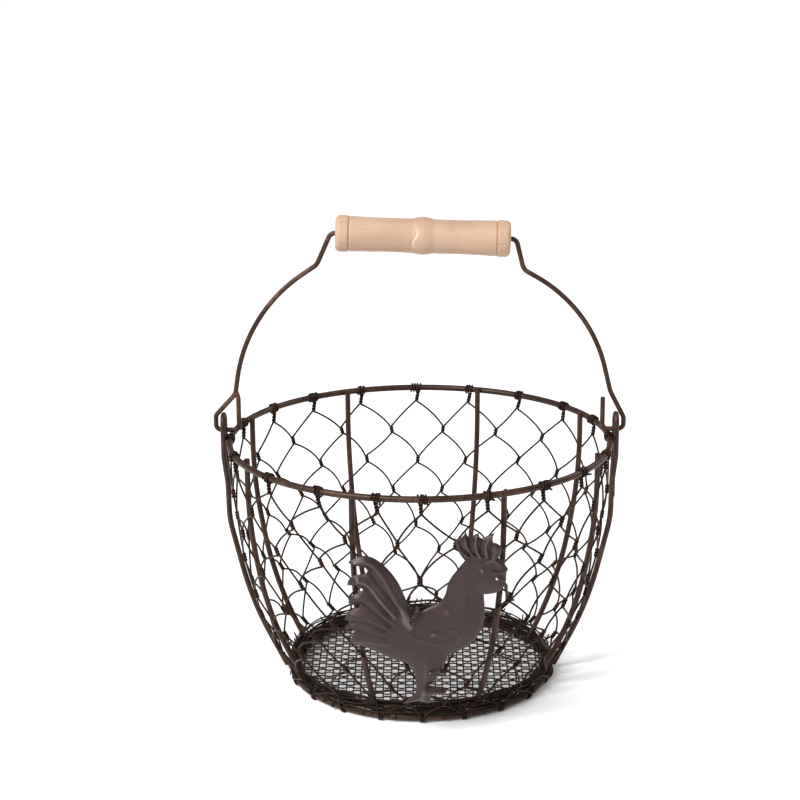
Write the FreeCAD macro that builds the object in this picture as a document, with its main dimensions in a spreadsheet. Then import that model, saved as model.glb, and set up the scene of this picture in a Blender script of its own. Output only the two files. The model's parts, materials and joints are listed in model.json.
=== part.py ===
import FreeCAD, Part
import math
import os
import Sketcher

# Round wire egg basket: two rings, eight ribs, hexagonal netting, a floor of square-mesh
# cloth, a sheet-metal rooster on the front, two bail ears, a swinging bail and a turned grip.
# Millimetres. +Z is up, +X is to the right, the front faces -Y and Z = 0 is the table.

Vector = FreeCAD.Vector
Rotation = FreeCAD.Rotation
Placement = FreeCAD.Placement
Z_AXIS = Vector(0, 0, 1)
X_AXIS = Vector(1, 0, 0)

SIZES = [
    # rings
    ("rim_radius", 102.5, "rim, to the middle of its wire"),
    ("rim_height", 134.2, "rim, to the middle of its wire"),
    ("base_radius", 70.5, "base ring, to the middle of its wire"),
    ("ring_wire", 3.4, "diameter of the wire of both rings"),
    ("weld_gap", 0.05, "gap left between two wires that are welded or wrapped together"),
    # wall: the netting runs straight from base to hip to shoulder, with rounded turns
    ("net_wire", 0.9, "diameter of the netting wire"),
    ("hip_radius", 90.4, "netting where the cone turns into the steep wall"),
    ("hip_height", 39.2, "height of that turn"),
    ("hip_bend", 190.0, "radius of that turn"),
    ("shoulder_radius", 101.9, "netting where the wall turns upright"),
    ("shoulder_height", 100.4, "height of that turn"),
    ("shoulder_bend", 240.0, "radius of that turn"),
    ("columns", 20, "netting cells round the basket"),
    ("rows", 8, "netting rows from rim to base"),
    ("net_turn", 0.5, "angle of the first netting column from the front"),
    ("net_ring_gap", 0.27, "gap between a ring's turns of wire and the netting's ends"),
    # ribs
    ("rib_wire", 3.0, "diameter of the rib and ear wire"),
    ("rib_count", 8, "ribs inside the netting"),
    ("rib_turn", 2.5, "how far the ribs are turned from an even split about the front"),
    ("rib_behind_net", 2.65, "from the netting to the middle of a rib inside it"),
    ("rib_over_rim", 1.9, "how far a rib's cut end stands above the middle of the rim"),
    ("rib_low_drop", 1.9, "how much lower the front right rib is cut off"),
    ("rib_foot_inset", 4.15, "from the base ring's middle in to a rib's foot"),
    ("rib_foot_height", 2.6, "height of a rib's foot"),
    # ears
    ("eye_half_width", 4.5, "half the width of an ear's eye, between wire middles"),
    ("eye_top", 147.6, "height of the eye's top"),
    ("ear_neck_height", 109.0, "height where the ear's two legs come together"),
    ("ear_outside_net", 2.2, "from the netting out to the middle of an ear's long leg"),
    ("ear_foot_outset", 3.75, "from the base ring's middle out to the long leg's foot"),
    ("ear_neck_gap", 0.3, "how much further out the neck stands than the leg below it"),
    ("ear_short_drop", 7.0, "from the neck down to the short leg's cut end"),
    ("ear_short_rise", 3.0, "from the neck up to the short leg's bend"),
    ("ear_spread_drop", 9.0, "from the rim down to where the two legs draw together"),
    ("ear_leg_drop", 12.0, "from the shoulder down to where the long leg meets the wall"),
    ("ear_short_bend", 12.0, "bend radius of the short leg at the neck"),
    ("ear_spread_bend", 16.0, "bend radius of both legs below the rim"),
    ("ear_neck_bend", 24.0, "bend radius of the long leg at the neck"),
    ("ear_leg_bend", 60.0, "bend radius of the long leg at the shoulder"),
    # bail, in its own upright plane
    ("bail_wire", 2.6, "diameter of the bail wire"),
    ("pivot_height", 139.4, "height of the straight hook bottoms that the bail turns on"),
    ("hook_out", 109.9, "outer side of both hooks"),
    ("hook_bend", 2.9, "radius of the hook's two bends"),
    ("hook_tail_top", 156.4, "height of the hooks' cut ends"),
    ("hook_tail_right", 98.5, "sideways place of the right hook's upright tail"),
    ("hook_tail_left", 97.5, "the same on the left, where the hook is a little deeper"),
    # grip
    ("grip_length", 92.0, "turned grip, end to end"),
    ("grip_middle", 2.05, "sideways place of the grip's middle"),
    ("grip_end_radius", 9.5, "radius of its end beads"),
    ("grip_waist_radius", 8.75, "radius of its two waists"),
    ("grip_knuckle_radius", 9.9, "radius of the knuckle in its middle"),
    ("grip_bore_radius", 1.6, "radius of the bore that the bail runs through"),
    ("grip_knuckle_half", 3.2, "half the length of the knuckle"),
    ("grip_shoulder_rise", 0.35, "how far both ends of a waist stand above its middle"),
    ("grip_waist_end", 8.2, "from the grip's end to the end of the waist"),
    ("grip_groove_place", 7.5, "from the grip's end to the bottom of the groove"),
    ("grip_groove_depth", 0.2, "depth of the groove below the waist"),
    ("grip_bead_start", 6.6, "from the grip's end to the start of the end bead"),
    ("grip_bead_crest", 4.6, "from the grip's end to the crest of the end bead"),
    ("grip_bead_rise", 0.15, "how far the crest stands above the end radius"),
    ("grip_round_length", 2.8, "length of the rounding at the end"),
    ("grip_round_depth", 2.4, "depth of the rounding at the end"),
    # floor cloth
    ("cloth_pitch", 6.0, "spacing of the floor cloth's wires"),
    ("cloth_wire", 1.0, "diameter of the floor cloth's wires"),
    ("cloth_notch_gap", 0.3, "gap between the cloth and a rib that passes through its edge"),
    # plaque
    ("plaque_thickness", 1.0, "sheet of the rooster"),
    ("plaque_radius", 97.9, "back face, from the basket's axis at plaque_height"),
    ("plaque_height", 70.0, "height of the plaque's own origin"),
    ("plaque_lean", 8.5, "how far the plaque's top leans out, in degrees"),
    ("tie_hole_radius", 1.1, "holes for the tie wires"),
]

# Bail corners from the grip out to the hook: sideways place, height, bend radius.
# The two sides were bent by hand and differ.
BAIL_RIGHT = [(51.2, 243.6, 3.5), (55.2, 227.2, 6.0), (91.1, 206.7, 79.0),
              (102.4, 160.4, 16.0), (109.9, 145.9, 5.0)]
BAIL_LEFT = [(-46.5, 247.2, 3.5), (-54.0, 230.2, 7.0), (-92.1, 204.8, 84.0),
             (-99.0, 159.4, 8.0), (-109.9, 147.6, 3.5)]

RIB_NAMES = ["rib_front_right", "rib_right_front", "rib_right_back", "rib_back_right",
             "rib_back_left", "rib_left_back", "rib_left_front", "rib_front_left"]

# The rooster's outline in its own plane, facing right, stroke by stroke and clockwise from
# the dip in its back. A stroke starts where the one before it ends: one point is a straight
# line, and more are a smooth curve through them.
ROOSTER_OUTLINE = [
    # back and neck, up to the comb
    [(5.0, 6.2), (10.0, 9.2), (12.4, 13.0), (14.1, 20.0), (17.5, 26.0), (22.3, 32.7)],
    # comb, four teeth and a lobe
    [(18.7, 38.5), (17.0, 45.5)],
    [(18.6, 44.6), (19.9, 45.2)],
    [(21.6, 47.0), (22.5, 50.1)],
    [(23.4, 46.6), (25.0, 44.5)],
    [(26.6, 46.9), (29.1, 48.0)],
    [(29.2, 46.2), (31.0, 45.0)],
    [(33.6, 46.8), (36.8, 48.0)],
    [(35.9, 45.4), (36.2, 42.6)],
    [(38.6, 41.8), (40.3, 39.4), (40.2, 36.6), (38.6, 34.4)],
    # brow, beak, wattle and chin
    [(40.4, 32.6), (42.2, 30.3), (43.7, 27.6)],
    [(42.9, 25.4), (42.8, 22.0), (41.6, 17.8), (39.1, 14.9)],
    [(35.6, 13.9), (31.8, 13.6)],
    # breast, down to the leg
    [(32.3, 6.5), (32.1, -1.0), (30.4, -7.7), (27.5, -13.0), (22.6, -17.6), (18.0, -20.2),
     (14.0, -22.2)],
    # leg and toes
    [(12.2, -27.7), (9.2, -34.2), (3.8, -39.8)],
    [(8.0, -40.6), (11.6, -41.8), (13.3, -43.8), (11.8, -45.2), (8.2, -45.6), (4.8, -47.2)],
    [(5.1, -49.2), (4.1, -51.0)],
    [(1.6, -49.6), (-2.9, -49.6), (-9.5, -50.7)],
    [(-5.6, -47.8), (-2.9, -45.0), (-2.3, -38.0), (-3.2, -31.8), (-7.5, -26.3)],
    # belly, back to the tail
    [(-16.4, -22.9), (-23.0, -19.3), (-29.6, -16.2), (-35.6, -14.4)],
    # tail feathers, from the lowest tip up
    [(-33.9, -9.6), (-32.6, -6.6)],
    [(-35.2, -6.0), (-37.9, -7.4)],
    [(-37.0, -4.4), (-35.4, -2.4)],
    [(-36.6, -1.4), (-38.1, -1.4)],
    [(-37.0, 1.8), (-34.9, 4.5), (-32.4, 5.4), (-29.5, 7.8)],
    [(-32.6, 7.6), (-35.9, 8.6)],
    [(-34.3, 12.6), (-31.4, 14.4), (-28.3, 16.4)],
    [(-31.6, 18.2), (-36.3, 18.8)],
    [(-34.2, 23.4), (-31.2, 24.8), (-27.7, 25.2), (-26.1, 27.0)],
    [(-28.6, 29.3), (-32.0, 29.9), (-35.6, 32.0)],
    # the long top feather, over and down to the dip
    [(-31.3, 34.7), (-27.6, 35.5), (-24.4, 34.8), (-20.6, 32.5), (-16.2, 28.1), (-9.9, 17.9),
     (-6.6, 9.0), (-3.4, 4.2), (1.0, 4.0)],
]

# Holes for the tie wires in the same plane, and each loop: the way from its hole out over
# the nearest edge, in degrees, and the loop's radius.
TIE_HOLES = {"tie_head": (38.6, 23.6), "tie_back": (-4.6, -1.0), "tie_leg": (4.6, -30.5)}
TIE_LOOPS = {"tie_head": (10, 3.4), "tie_back": (75, 4.0), "tie_leg": (-15, 4.2)}

# Corner style of a pipe shell: mitred corners
MITRED = 1
# Points down the wall between one row of netting and the next
ROW_STEPS = 8


def make_sheet(doc):
    """The spreadsheet that holds every driving dimension."""
    sheet = doc.addObject("Spreadsheet::Sheet", "Sizes")
    for row, (alias, number, note) in enumerate(SIZES, start=1):
        sheet.set("A%d" % row, alias)
        sheet.set("B%d" % row, str(number))
        sheet.set("C%d" % row, note)
        sheet.setAlias("B%d" % row, alias)
    doc.recompute()
    return sheet


def number(doc, text):
    """The value of a spreadsheet expression."""
    return float(doc.Sizes.evalExpression(text))


def plane_of(body, role):
    """One of a body's own origin planes, by its role."""
    for feature in body.Origin.OriginFeatures:
        if feature.Role == role:
            return feature
    raise ValueError("no origin plane " + role)


def new_sketch(body, name, role):
    """A sketch on one of the body's origin planes."""
    sketch = body.newObject("Sketcher::SketchObject", name)
    sketch.AttachmentSupport = (plane_of(body, role), "")
    sketch.MapMode = "FlatFace"
    return sketch


def rounded_path(corners):
    """Edges of a path with straight runs and tangent arcs.

    corners holds (point, bend radius), and the two ends have no radius."""
    edges = []
    start = corners[0][0]
    for before, (corner, radius), after in zip(corners, corners[1:], corners[2:]):
        into = (corner - before[0]).normalize()
        out = (after[0] - corner).normalize()
        turn = into.getAngle(out)
        reach = radius * math.tan(turn / 2)
        arc_start = corner - into * reach
        arc_end = corner + out * reach
        inward = (out - into).normalize()
        middle = corner + inward * (radius / math.cos(turn / 2) - radius)
        edges.append(Part.LineSegment(start, arc_start))
        edges.append(Part.Arc(arc_start, middle, arc_end))
        start = arc_end
    edges.append(Part.LineSegment(start, corners[-1][0]))
    return edges


def round_bar(edges, diameter, corner_mode=0):
    """A round wire swept along a path of edges, as one solid."""
    path = Part.Wire([edge.toShape() for edge in edges])
    first = path.Edges[0]
    start = first.valueAt(first.FirstParameter)
    along = first.tangentAt(first.FirstParameter)
    section = Part.Wire([Part.makeCircle(diameter / 2, start, along)])
    bar = path.makePipeShell([section], True, False, corner_mode)
    if bar.Volume < 0:
        bar.reverse()
    return bar


def add_feature(doc, name, shape, placement=None):
    """A sub-part whose shape comes from Part's own functions."""
    feature = doc.addObject("Part::Feature", name)
    feature.Label = name
    feature.Shape = shape
    feature.Placement = placement or Placement()
    return feature


def constrain_path(spine, corners, expressions):
    """Ties a rounded path's corners and bend radii to the spreadsheet."""
    first_point = 2 * len(corners) - 3
    for index, (x_text, z_text, bend_text) in enumerate(expressions):
        point = first_point + index
        bind(spine, Sketcher.Constraint("DistanceX", point, 1, corners[index][0].x), x_text)
        bind(spine, Sketcher.Constraint("DistanceY", point, 1, corners[index][0].y), z_text)
    for index in range(1, len(corners) - 1):
        arc = 2 * index - 1
        for line in (arc - 1, arc + 1):
            spine.addConstraint(Sketcher.Constraint("PointOnObject", first_point + index, 1, line))
        forward = spine.getPoint(arc, 1).isEqual(spine.getPoint(arc - 1, 2), 1e-6)
        near, far = (1, 2) if forward else (2, 1)
        spine.addConstraint(Sketcher.Constraint("Tangent", arc - 1, 2, arc, near))
        spine.addConstraint(Sketcher.Constraint("Tangent", arc, far, arc + 1, 1))
        bind(spine, Sketcher.Constraint("Radius", arc, corners[index][1]), expressions[index][2])
    last_point = first_point + len(corners) - 1
    spine.addConstraint(Sketcher.Constraint("Coincident", 0, 1, first_point, 1))
    spine.addConstraint(Sketcher.Constraint("Coincident", first_point - 1, 2, last_point, 1))


def bind(sketch, constraint, text):
    """Adds a constraint whose size follows a spreadsheet expression."""
    index = sketch.addConstraint(constraint)
    sketch.setExpression("Constraints[%d]" % index, text)


def bent_wire_body(doc, name, expressions, diameter):
    """A pipe along a flat path in the XZ plane whose first run is upright.

    expressions holds each corner as (x, z, bend radius), as texts for the spreadsheet."""
    body = doc.addObject("PartDesign::Body", name)
    body.Label = name
    sizes = [[number(doc, text) for text in corner] for corner in expressions]
    corners = [(Vector(x, z, 0), bend) for x, z, bend in sizes]
    spine = new_sketch(body, name + "_path", "XZ_Plane")
    spine.addGeometry(rounded_path(corners), False)
    spine.addGeometry([Part.Point(corner) for corner, bend in corners], True)
    constrain_path(spine, corners, expressions)

    start_x, start_z = sizes[0][:2]
    section = new_sketch(body, name + "_section", "XY_Plane")
    section.AttachmentOffset = Placement(Vector(start_x, 0, start_z), Rotation())
    section.setExpression("AttachmentOffset.Base.x", expressions[0][0])
    section.setExpression("AttachmentOffset.Base.z", expressions[0][1])
    section.addGeometry(Part.Circle(Vector(), Z_AXIS, number(doc, diameter) / 2), False)
    section.addConstraint(Sketcher.Constraint("Coincident", 0, 3, -1, 1))
    bind(section, Sketcher.Constraint("Diameter", 0, number(doc, diameter)), diameter)

    pipe = body.newObject("PartDesign::AdditivePipe", name + "_pipe")
    pipe.Profile = section
    pipe.Spine = spine
    return body


def make_ring(doc, name, radius, height):
    """A closed ring of the heavy wire."""
    ring = doc.addObject("Part::Torus", name)
    ring.Label = name
    ring.setExpression("Radius1", radius)
    ring.setExpression("Radius2", "Sizes.ring_wire / 2")
    ring.setExpression("Placement.Base.z", height)


def rib_angle(doc, index):
    """A rib's angle about Z from +X, in degrees: the ribs split the circle evenly."""
    step = 360 / doc.Sizes.rib_count
    return -90 + step / 2 + step * index + doc.Sizes.rib_turn


def make_ribs(doc):
    """Eight ribs: upright inside the rim, then in along the wall to the base ring."""
    top = "Sizes.rim_radius - (Sizes.ring_wire + Sizes.rib_wire) / 2 - Sizes.weld_gap"
    corners = [
        (top, "Sizes.rim_height + Sizes.rib_over_rim", "0"),
        (top, "Sizes.shoulder_height", "Sizes.shoulder_bend"),
        ("Sizes.hip_radius - Sizes.rib_behind_net", "Sizes.hip_height", "Sizes.hip_bend"),
        ("Sizes.base_radius - Sizes.rib_foot_inset", "Sizes.rib_foot_height", "0"),
    ]
    low_end = (top, "Sizes.rim_height + Sizes.rib_over_rim - Sizes.rib_low_drop", "0")
    for index, name in enumerate(RIB_NAMES):
        path = [low_end] + corners[1:] if name == "rib_front_right" else corners
        rib = bent_wire_body(doc, name, path, "Sizes.rib_wire")
        rib.Placement = Placement(Vector(), Rotation(Z_AXIS, rib_angle(doc, index)))


def make_ear(doc, name, side):
    """A hairpin of wire outside the rim. Its eye holds the bail's hook, its short leg ends
    below the rim, and its long leg runs down outside the netting to the base ring."""
    size = doc.Sizes
    out = size.rim_radius + (size.ring_wire + size.rib_wire) / 2 + size.weld_gap
    leg = size.shoulder_radius + size.ear_outside_net
    neck = leg + size.ear_neck_gap
    half = size.eye_half_width
    eye_bend = half - size.weld_gap / 5
    short_leg = -size.rib_wire - 2 * size.weld_gap
    spread = size.rim_height - size.ear_spread_drop
    corners = [
        (Vector(neck, short_leg, size.ear_neck_height - size.ear_short_drop), 0),
        (Vector(neck, short_leg, size.ear_neck_height + size.ear_short_rise), size.ear_short_bend),
        (Vector(out, -half, spread), size.ear_spread_bend),
        (Vector(out, -half, size.eye_top), eye_bend),
        (Vector(out, half, size.eye_top), eye_bend),
        (Vector(out, half, spread), size.ear_spread_bend),
        (Vector(neck, 0, size.ear_neck_height), size.ear_neck_bend),
        (Vector(leg, 0, size.shoulder_height - size.ear_leg_drop), size.ear_leg_bend),
        (Vector(size.hip_radius + size.ear_outside_net, 0, size.hip_height), size.hip_bend),
        (Vector(size.base_radius + size.ear_foot_outset, 0, size.rib_foot_height), 0),
    ]
    bar = round_bar(rounded_path(corners), size.rib_wire)
    turn = 0 if side == "right" else 180
    add_feature(doc, name, bar, Placement(Vector(), Rotation(Z_AXIS, turn)))


def wall_stations(doc, count):
    """Evenly spaced points down the netting's wall, rim first, as (radius, height).

    The wall stops just clear of the turns of wire round each ring."""
    size = doc.Sizes
    clear = size.ring_wire / 2 + size.net_wire + size.weld_gap + size.net_ring_gap
    corners = [
        (Vector(size.rim_radius, 0, size.rim_height - clear), 0),
        (Vector(size.shoulder_radius, 0, size.shoulder_height), size.shoulder_bend),
        (Vector(size.hip_radius, 0, size.hip_height), size.hip_bend),
        (Vector(size.base_radius, 0, base_ring_height(doc) + clear), 0),
    ]
    wall = Part.Wire([edge.toShape() for edge in rounded_path(corners)])
    return [(point.x, point.z) for point in wall.discretize(Number=count)]


def base_ring_height(doc):
    """Middle of the base ring: it stands on the netting's turns round it."""
    return doc.Sizes.ring_wire / 2 + doc.Sizes.net_wire + doc.Sizes.weld_gap


def around(radius, degrees, height):
    """A point by its angle from the front, positive towards the right."""
    angle = math.radians(degrees)
    return Vector(radius * math.sin(angle), -radius * math.cos(angle), height)


def make_side_netting(doc):
    """Hexagonal netting. Each wire pairs with one neighbour at every other row, and with
    its other neighbour at the rows between."""
    size = doc.Sizes
    columns = int(size.columns)
    rows = int(size.rows)
    stations = wall_stations(doc, rows * ROW_STEPS + 1)
    cell = 360 / columns
    beside = (size.net_wire + size.weld_gap) / 2
    wires = []
    for index in range(2 * columns):
        hand = 1 if index % 2 else -1
        points = []
        for row in range(rows + 1):
            shifted = row % 2
            middle = size.net_turn + cell * (index // 2 + shifted * hand / 2)
            lean = -hand if shifted else hand
            first = max(row * ROW_STEPS - 1, 0)
            last = min(row * ROW_STEPS + 1, rows * ROW_STEPS)
            for radius, height in (stations[first], stations[last]):
                degrees = middle + lean * math.degrees(beside / radius)
                points.append(around(radius, degrees, height))
        path = [Part.LineSegment(start, end) for start, end in zip(points, points[1:])]
        wires.append(round_bar(path, size.net_wire, MITRED))
    add_feature(doc, "side_netting", Part.makeCompound(wires))


def make_wraps(doc, name, ring_radius, ring_height, turns):
    """Turns of netting wire round a ring, at every netting column."""
    size = doc.Sizes
    loop = (size.ring_wire + size.net_wire) / 2 + size.weld_gap
    spacing = size.net_wire + size.weld_gap
    coils = []
    for column in range(int(size.columns)):
        for turn in range(turns):
            aside = (turn - (turns - 1) / 2) * spacing
            degrees = size.net_turn + 360 / size.columns * column
            degrees += math.degrees(aside / ring_radius)
            centre = around(ring_radius, degrees, ring_height)
            along = around(1, degrees + 90, 0)
            coils.append(Part.makeTorus(loop, size.net_wire / 2, centre, along))
    add_feature(doc, name, Part.makeCompound(coils))


def make_base_cloth(doc):
    """Square-mesh cloth lying on the base ring's turns, notched where the ribs come down."""
    size = doc.Sizes
    half_hole = (size.cloth_pitch - size.cloth_wire) / 2
    bottom = base_ring_height(doc) + size.ring_wire / 2 + size.net_wire + 2 * size.weld_gap
    edge = size.base_radius - size.net_wire
    reach = int(edge // size.cloth_pitch) + 1
    outlines = [Part.Wire([Part.makeCircle(edge, Vector(0, 0, bottom))])]
    places = [(index + 0.5) * size.cloth_pitch for index in range(-reach, reach)]
    for x in places:
        for y in places:
            if math.hypot(abs(x) + half_hole, abs(y) + half_hole) < edge - size.cloth_wire:
                corners = [Vector(x + dx * half_hole, y + dy * half_hole, bottom)
                           for dx, dy in ((-1, -1), (1, -1), (1, 1), (-1, 1), (-1, -1))]
                outlines.append(Part.makePolygon(corners))
    lattice = Part.makeFace(outlines, "Part::FaceMakerBullseye").extrude(Z_AXIS * size.cloth_wire)
    foot_radius = size.base_radius - size.rib_foot_inset
    foot = Vector(foot_radius, 0, size.rib_foot_height)
    hip = Vector(size.hip_radius - size.rib_behind_net, 0, size.hip_height)
    notch_radius = size.rib_wire / 2 + size.cloth_notch_gap
    for index in range(len(RIB_NAMES)):
        notch = Part.makeCylinder(notch_radius, 2 * size.cloth_pitch, foot, hip - foot)
        notch.rotate(Vector(), Z_AXIS, rib_angle(doc, index))
        lattice = lattice.cut(notch)
    add_feature(doc, "base_cloth", lattice)


def make_bail(doc):
    """The bail: hook, flare, arch and the stretch inside the grip, one bent wire."""
    def hook(tail, out):
        return [(tail, "Sizes.hook_tail_top", "0"),
                (tail, "Sizes.pivot_height", "Sizes.hook_bend"),
                (out, "Sizes.pivot_height", "Sizes.hook_bend")]

    def texts(corners):
        return [tuple(str(part) for part in corner) for corner in corners]

    corners = hook("-Sizes.hook_tail_left", "-Sizes.hook_out")
    corners += texts(reversed(BAIL_LEFT)) + texts(BAIL_RIGHT)
    corners += reversed(hook("Sizes.hook_tail_right", "Sizes.hook_out"))
    bent_wire_body(doc, "bail_wire", corners, "Sizes.bail_wire")


def make_grip(doc):
    """Turned grip: end beads, fine grooves, two waists and a knuckle, bored for the bail."""
    half = "Sizes.grip_length / 2"
    bead = "Sizes.grip_end_radius"
    waist = "Sizes.grip_waist_radius"
    shoulder = waist + " + Sizes.grip_shoulder_rise"
    # one half from the middle out: end point, then a point that an arc passes through
    strokes = [
        (("Sizes.grip_knuckle_half", shoulder),
         ("0", "Sizes.grip_knuckle_radius")),
        ((half + " - Sizes.grip_waist_end", shoulder),
         (half + " / 2", waist)),
        ((half + " - Sizes.grip_bead_start", bead),
         (half + " - Sizes.grip_groove_place", waist + " - Sizes.grip_groove_depth")),
        ((half + " - Sizes.grip_round_length", bead),
         (half + " - Sizes.grip_bead_crest", bead + " + Sizes.grip_bead_rise")),
        ((half, bead + " - Sizes.grip_round_depth"),
         (half + " - 0.3 * Sizes.grip_round_length", bead + " - 0.3 * Sizes.grip_round_depth")),
        ((half, "Sizes.grip_bore_radius"), None),
    ]
    body = doc.addObject("PartDesign::Body", "grip")
    body.Label = "grip"
    profile = new_sketch(body, "grip_profile", "XZ_Plane")

    def point(side, place):
        return Vector(side * number(doc, place[0]), number(doc, place[1]), 0)

    def outer_stroke(side, start, end, via):
        if via is None:
            profile.addGeometry(Part.LineSegment(point(side, start), point(side, end)), False)
        else:
            arc = Part.Arc(point(side, start), point(side, via), point(side, end))
            profile.addGeometry(arc, False)

    crest = strokes[0]
    knuckle_arc = Part.Arc(point(-1, crest[0]), point(1, crest[1]), point(1, crest[0]))
    profile.addGeometry(knuckle_arc, False)
    for side in (-1, 1):
        start = crest[0]
        for end, via in strokes[1:]:
            outer_stroke(side, start, end, via)
            start = end
    last = strokes[-1][0]
    profile.addGeometry(Part.LineSegment(point(-1, last), point(1, last)), False)
    bind_outline_ends(doc, profile, [end for end, via in strokes])

    turning = body.newObject("PartDesign::Revolution", "grip_turning")
    turning.Profile = profile
    turning.ReferenceAxis = (profile, ["H_Axis"])
    turning.Angle = 360
    (left_x, left_z), (right_x, right_z) = BAIL_LEFT[0][:2], BAIL_RIGHT[0][:2]
    slope = (left_z - right_z) / (right_x - left_x)
    middle = doc.Sizes.grip_middle
    height = left_z - slope * (middle - left_x)
    tilt = Rotation(Vector(0, 1, 0), math.degrees(math.atan(slope)))
    body.Placement = Placement(Vector(middle, 0, height), tilt)


def bind_outline_ends(doc, profile, ends):
    """Ties every stroke end of the grip's profile to the spreadsheet, on both sides."""
    for geometry in range(profile.GeometryCount):
        for position in (1, 2):
            place = profile.getPoint(geometry, position)
            for x_text, r_text in ends:
                x, r = number(doc, x_text), number(doc, r_text)
                if abs(abs(place.x) - x) < 1e-6 and abs(place.y - r) < 1e-6:
                    x_signed = x_text if place.x > 0 else "-(%s)" % x_text
                    across = Sketcher.Constraint("DistanceX", geometry, position, place.x)
                    bind(profile, across, x_signed)
                    up = Sketcher.Constraint("DistanceY", geometry, position, place.y)
                    bind(profile, up, r_text)


def smooth_curve(points):
    """A smooth curve through points."""
    curve = Part.BSplineCurve()
    curve.interpolate(Points=[Vector(x, y, 0) for x, y in points])
    return curve


def make_plaque(doc):
    """The rooster: a flat sheet cut to the outline, leaning out with the wall."""
    body = doc.addObject("PartDesign::Body", "rooster_plaque")
    body.Label = "rooster_plaque"
    outline = new_sketch(body, "rooster_outline", "XZ_Plane")
    start = ROOSTER_OUTLINE[-1][-1]
    for stroke in ROOSTER_OUTLINE:
        points = [start] + stroke
        if len(points) == 2:
            ends = [Vector(x, y, 0) for x, y in points]
            outline.addGeometry(Part.LineSegment(*ends), False)
        else:
            outline.addGeometry(smooth_curve(points), False)
        start = stroke[-1]
    for x, y in TIE_HOLES.values():
        circle = Part.Circle(Vector(x, y, 0), Z_AXIS, doc.Sizes.tie_hole_radius)
        hole = outline.addGeometry(circle, False)
        bind(outline, Sketcher.Constraint("Radius", hole, doc.Sizes.tie_hole_radius),
             "Sizes.tie_hole_radius")
    sheet = body.newObject("PartDesign::Pad", "rooster_sheet")
    sheet.Profile = outline
    sheet.setExpression("Length", "Sizes.plaque_thickness")
    body.Placement = plaque_placement(doc)


def plaque_placement(doc):
    """Where the plaque's own origin sits, and how its top leans out to the front."""
    size = doc.Sizes
    return Placement(Vector(0, -size.plaque_radius, size.plaque_height),
                     Rotation(X_AXIS, size.plaque_lean))


def make_ties(doc):
    """Wire loops that tie the plaque on: each goes through a hole and round the edge."""
    size = doc.Sizes
    wire = size.net_wire
    for name, (edge_angle, loop) in TIE_LOOPS.items():
        hole_x, hole_z = TIE_HOLES[name]
        angle = math.radians(edge_angle)
        outward = Vector(math.cos(angle), 0, math.sin(angle))
        centre = Vector(hole_x, -size.plaque_thickness / 2, hole_z) + outward * loop
        axis = outward.cross(Vector(0, 1, 0))
        add_feature(doc, name, Part.makeTorus(loop, wire / 2, centre, axis), plaque_placement(doc))


def check_document(doc):
    """Stops on any feature that failed to build."""
    for item in doc.Objects:
        failed = [state for state in item.State if state in ("Invalid", "Error")]
        if failed:
            raise RuntimeError("%s is %s" % (item.Name, failed))


def export_parts(doc):
    """Writes each sub-part to its own STEP file."""
    os.makedirs("parts", exist_ok=True)
    kinds = ("PartDesign::Body", "Part::Feature", "Part::Torus")
    parts = [item for item in doc.Objects if item.TypeId in kinds]
    for item in parts:
        if item.Shape.isNull() or not item.Shape.isValid():
            raise RuntimeError(item.Label + " has no valid shape")
    for item in parts:
        item.Shape.exportStep("parts/%s.step" % item.Label)
        print(item.Label, "solids", len(item.Shape.Solids), "volume %.1f" % item.Shape.Volume)


def main():
    doc = FreeCAD.newDocument("egg_basket")
    make_sheet(doc)
    make_ring(doc, "rim_ring", "Sizes.rim_radius", "Sizes.rim_height")
    make_ring(doc, "base_ring", "Sizes.base_radius",
              "Sizes.ring_wire / 2 + Sizes.net_wire + Sizes.weld_gap")
    make_ribs(doc)
    make_ear(doc, "ear_right", "right")
    make_ear(doc, "ear_left", "left")
    make_side_netting(doc)
    make_wraps(doc, "rim_wraps", doc.Sizes.rim_radius, doc.Sizes.rim_height, 2)
    make_wraps(doc, "base_wraps", doc.Sizes.base_radius, base_ring_height(doc), 1)
    make_base_cloth(doc)
    make_plaque(doc)
    make_ties(doc)
    make_bail(doc)
    make_grip(doc)
    doc.recompute()
    check_document(doc)
    export_parts(doc)


main()
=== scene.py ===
import json
import math
import random
from types import SimpleNamespace

import bmesh
import bpy
import numpy as np
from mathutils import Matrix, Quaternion, Vector, noise
from mathutils.geometry import delaunay_2d_cdt


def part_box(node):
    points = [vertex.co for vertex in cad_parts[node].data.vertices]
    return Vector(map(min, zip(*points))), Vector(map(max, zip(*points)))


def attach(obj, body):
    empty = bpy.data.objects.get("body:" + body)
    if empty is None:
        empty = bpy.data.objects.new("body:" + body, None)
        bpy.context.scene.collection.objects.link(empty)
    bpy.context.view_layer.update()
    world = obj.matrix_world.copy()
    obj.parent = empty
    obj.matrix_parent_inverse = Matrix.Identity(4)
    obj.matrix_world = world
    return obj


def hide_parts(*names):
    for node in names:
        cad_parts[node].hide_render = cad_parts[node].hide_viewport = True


# The looks of a round wire egg basket: real twisted netting, a woven floor cloth, a stamped
# rooster, tie wires, weld beads and a turned wooden grip, around the packed frame.
# Every size is in millimetres until a mesh is made. +Z is up and the front faces -Y.

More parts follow.
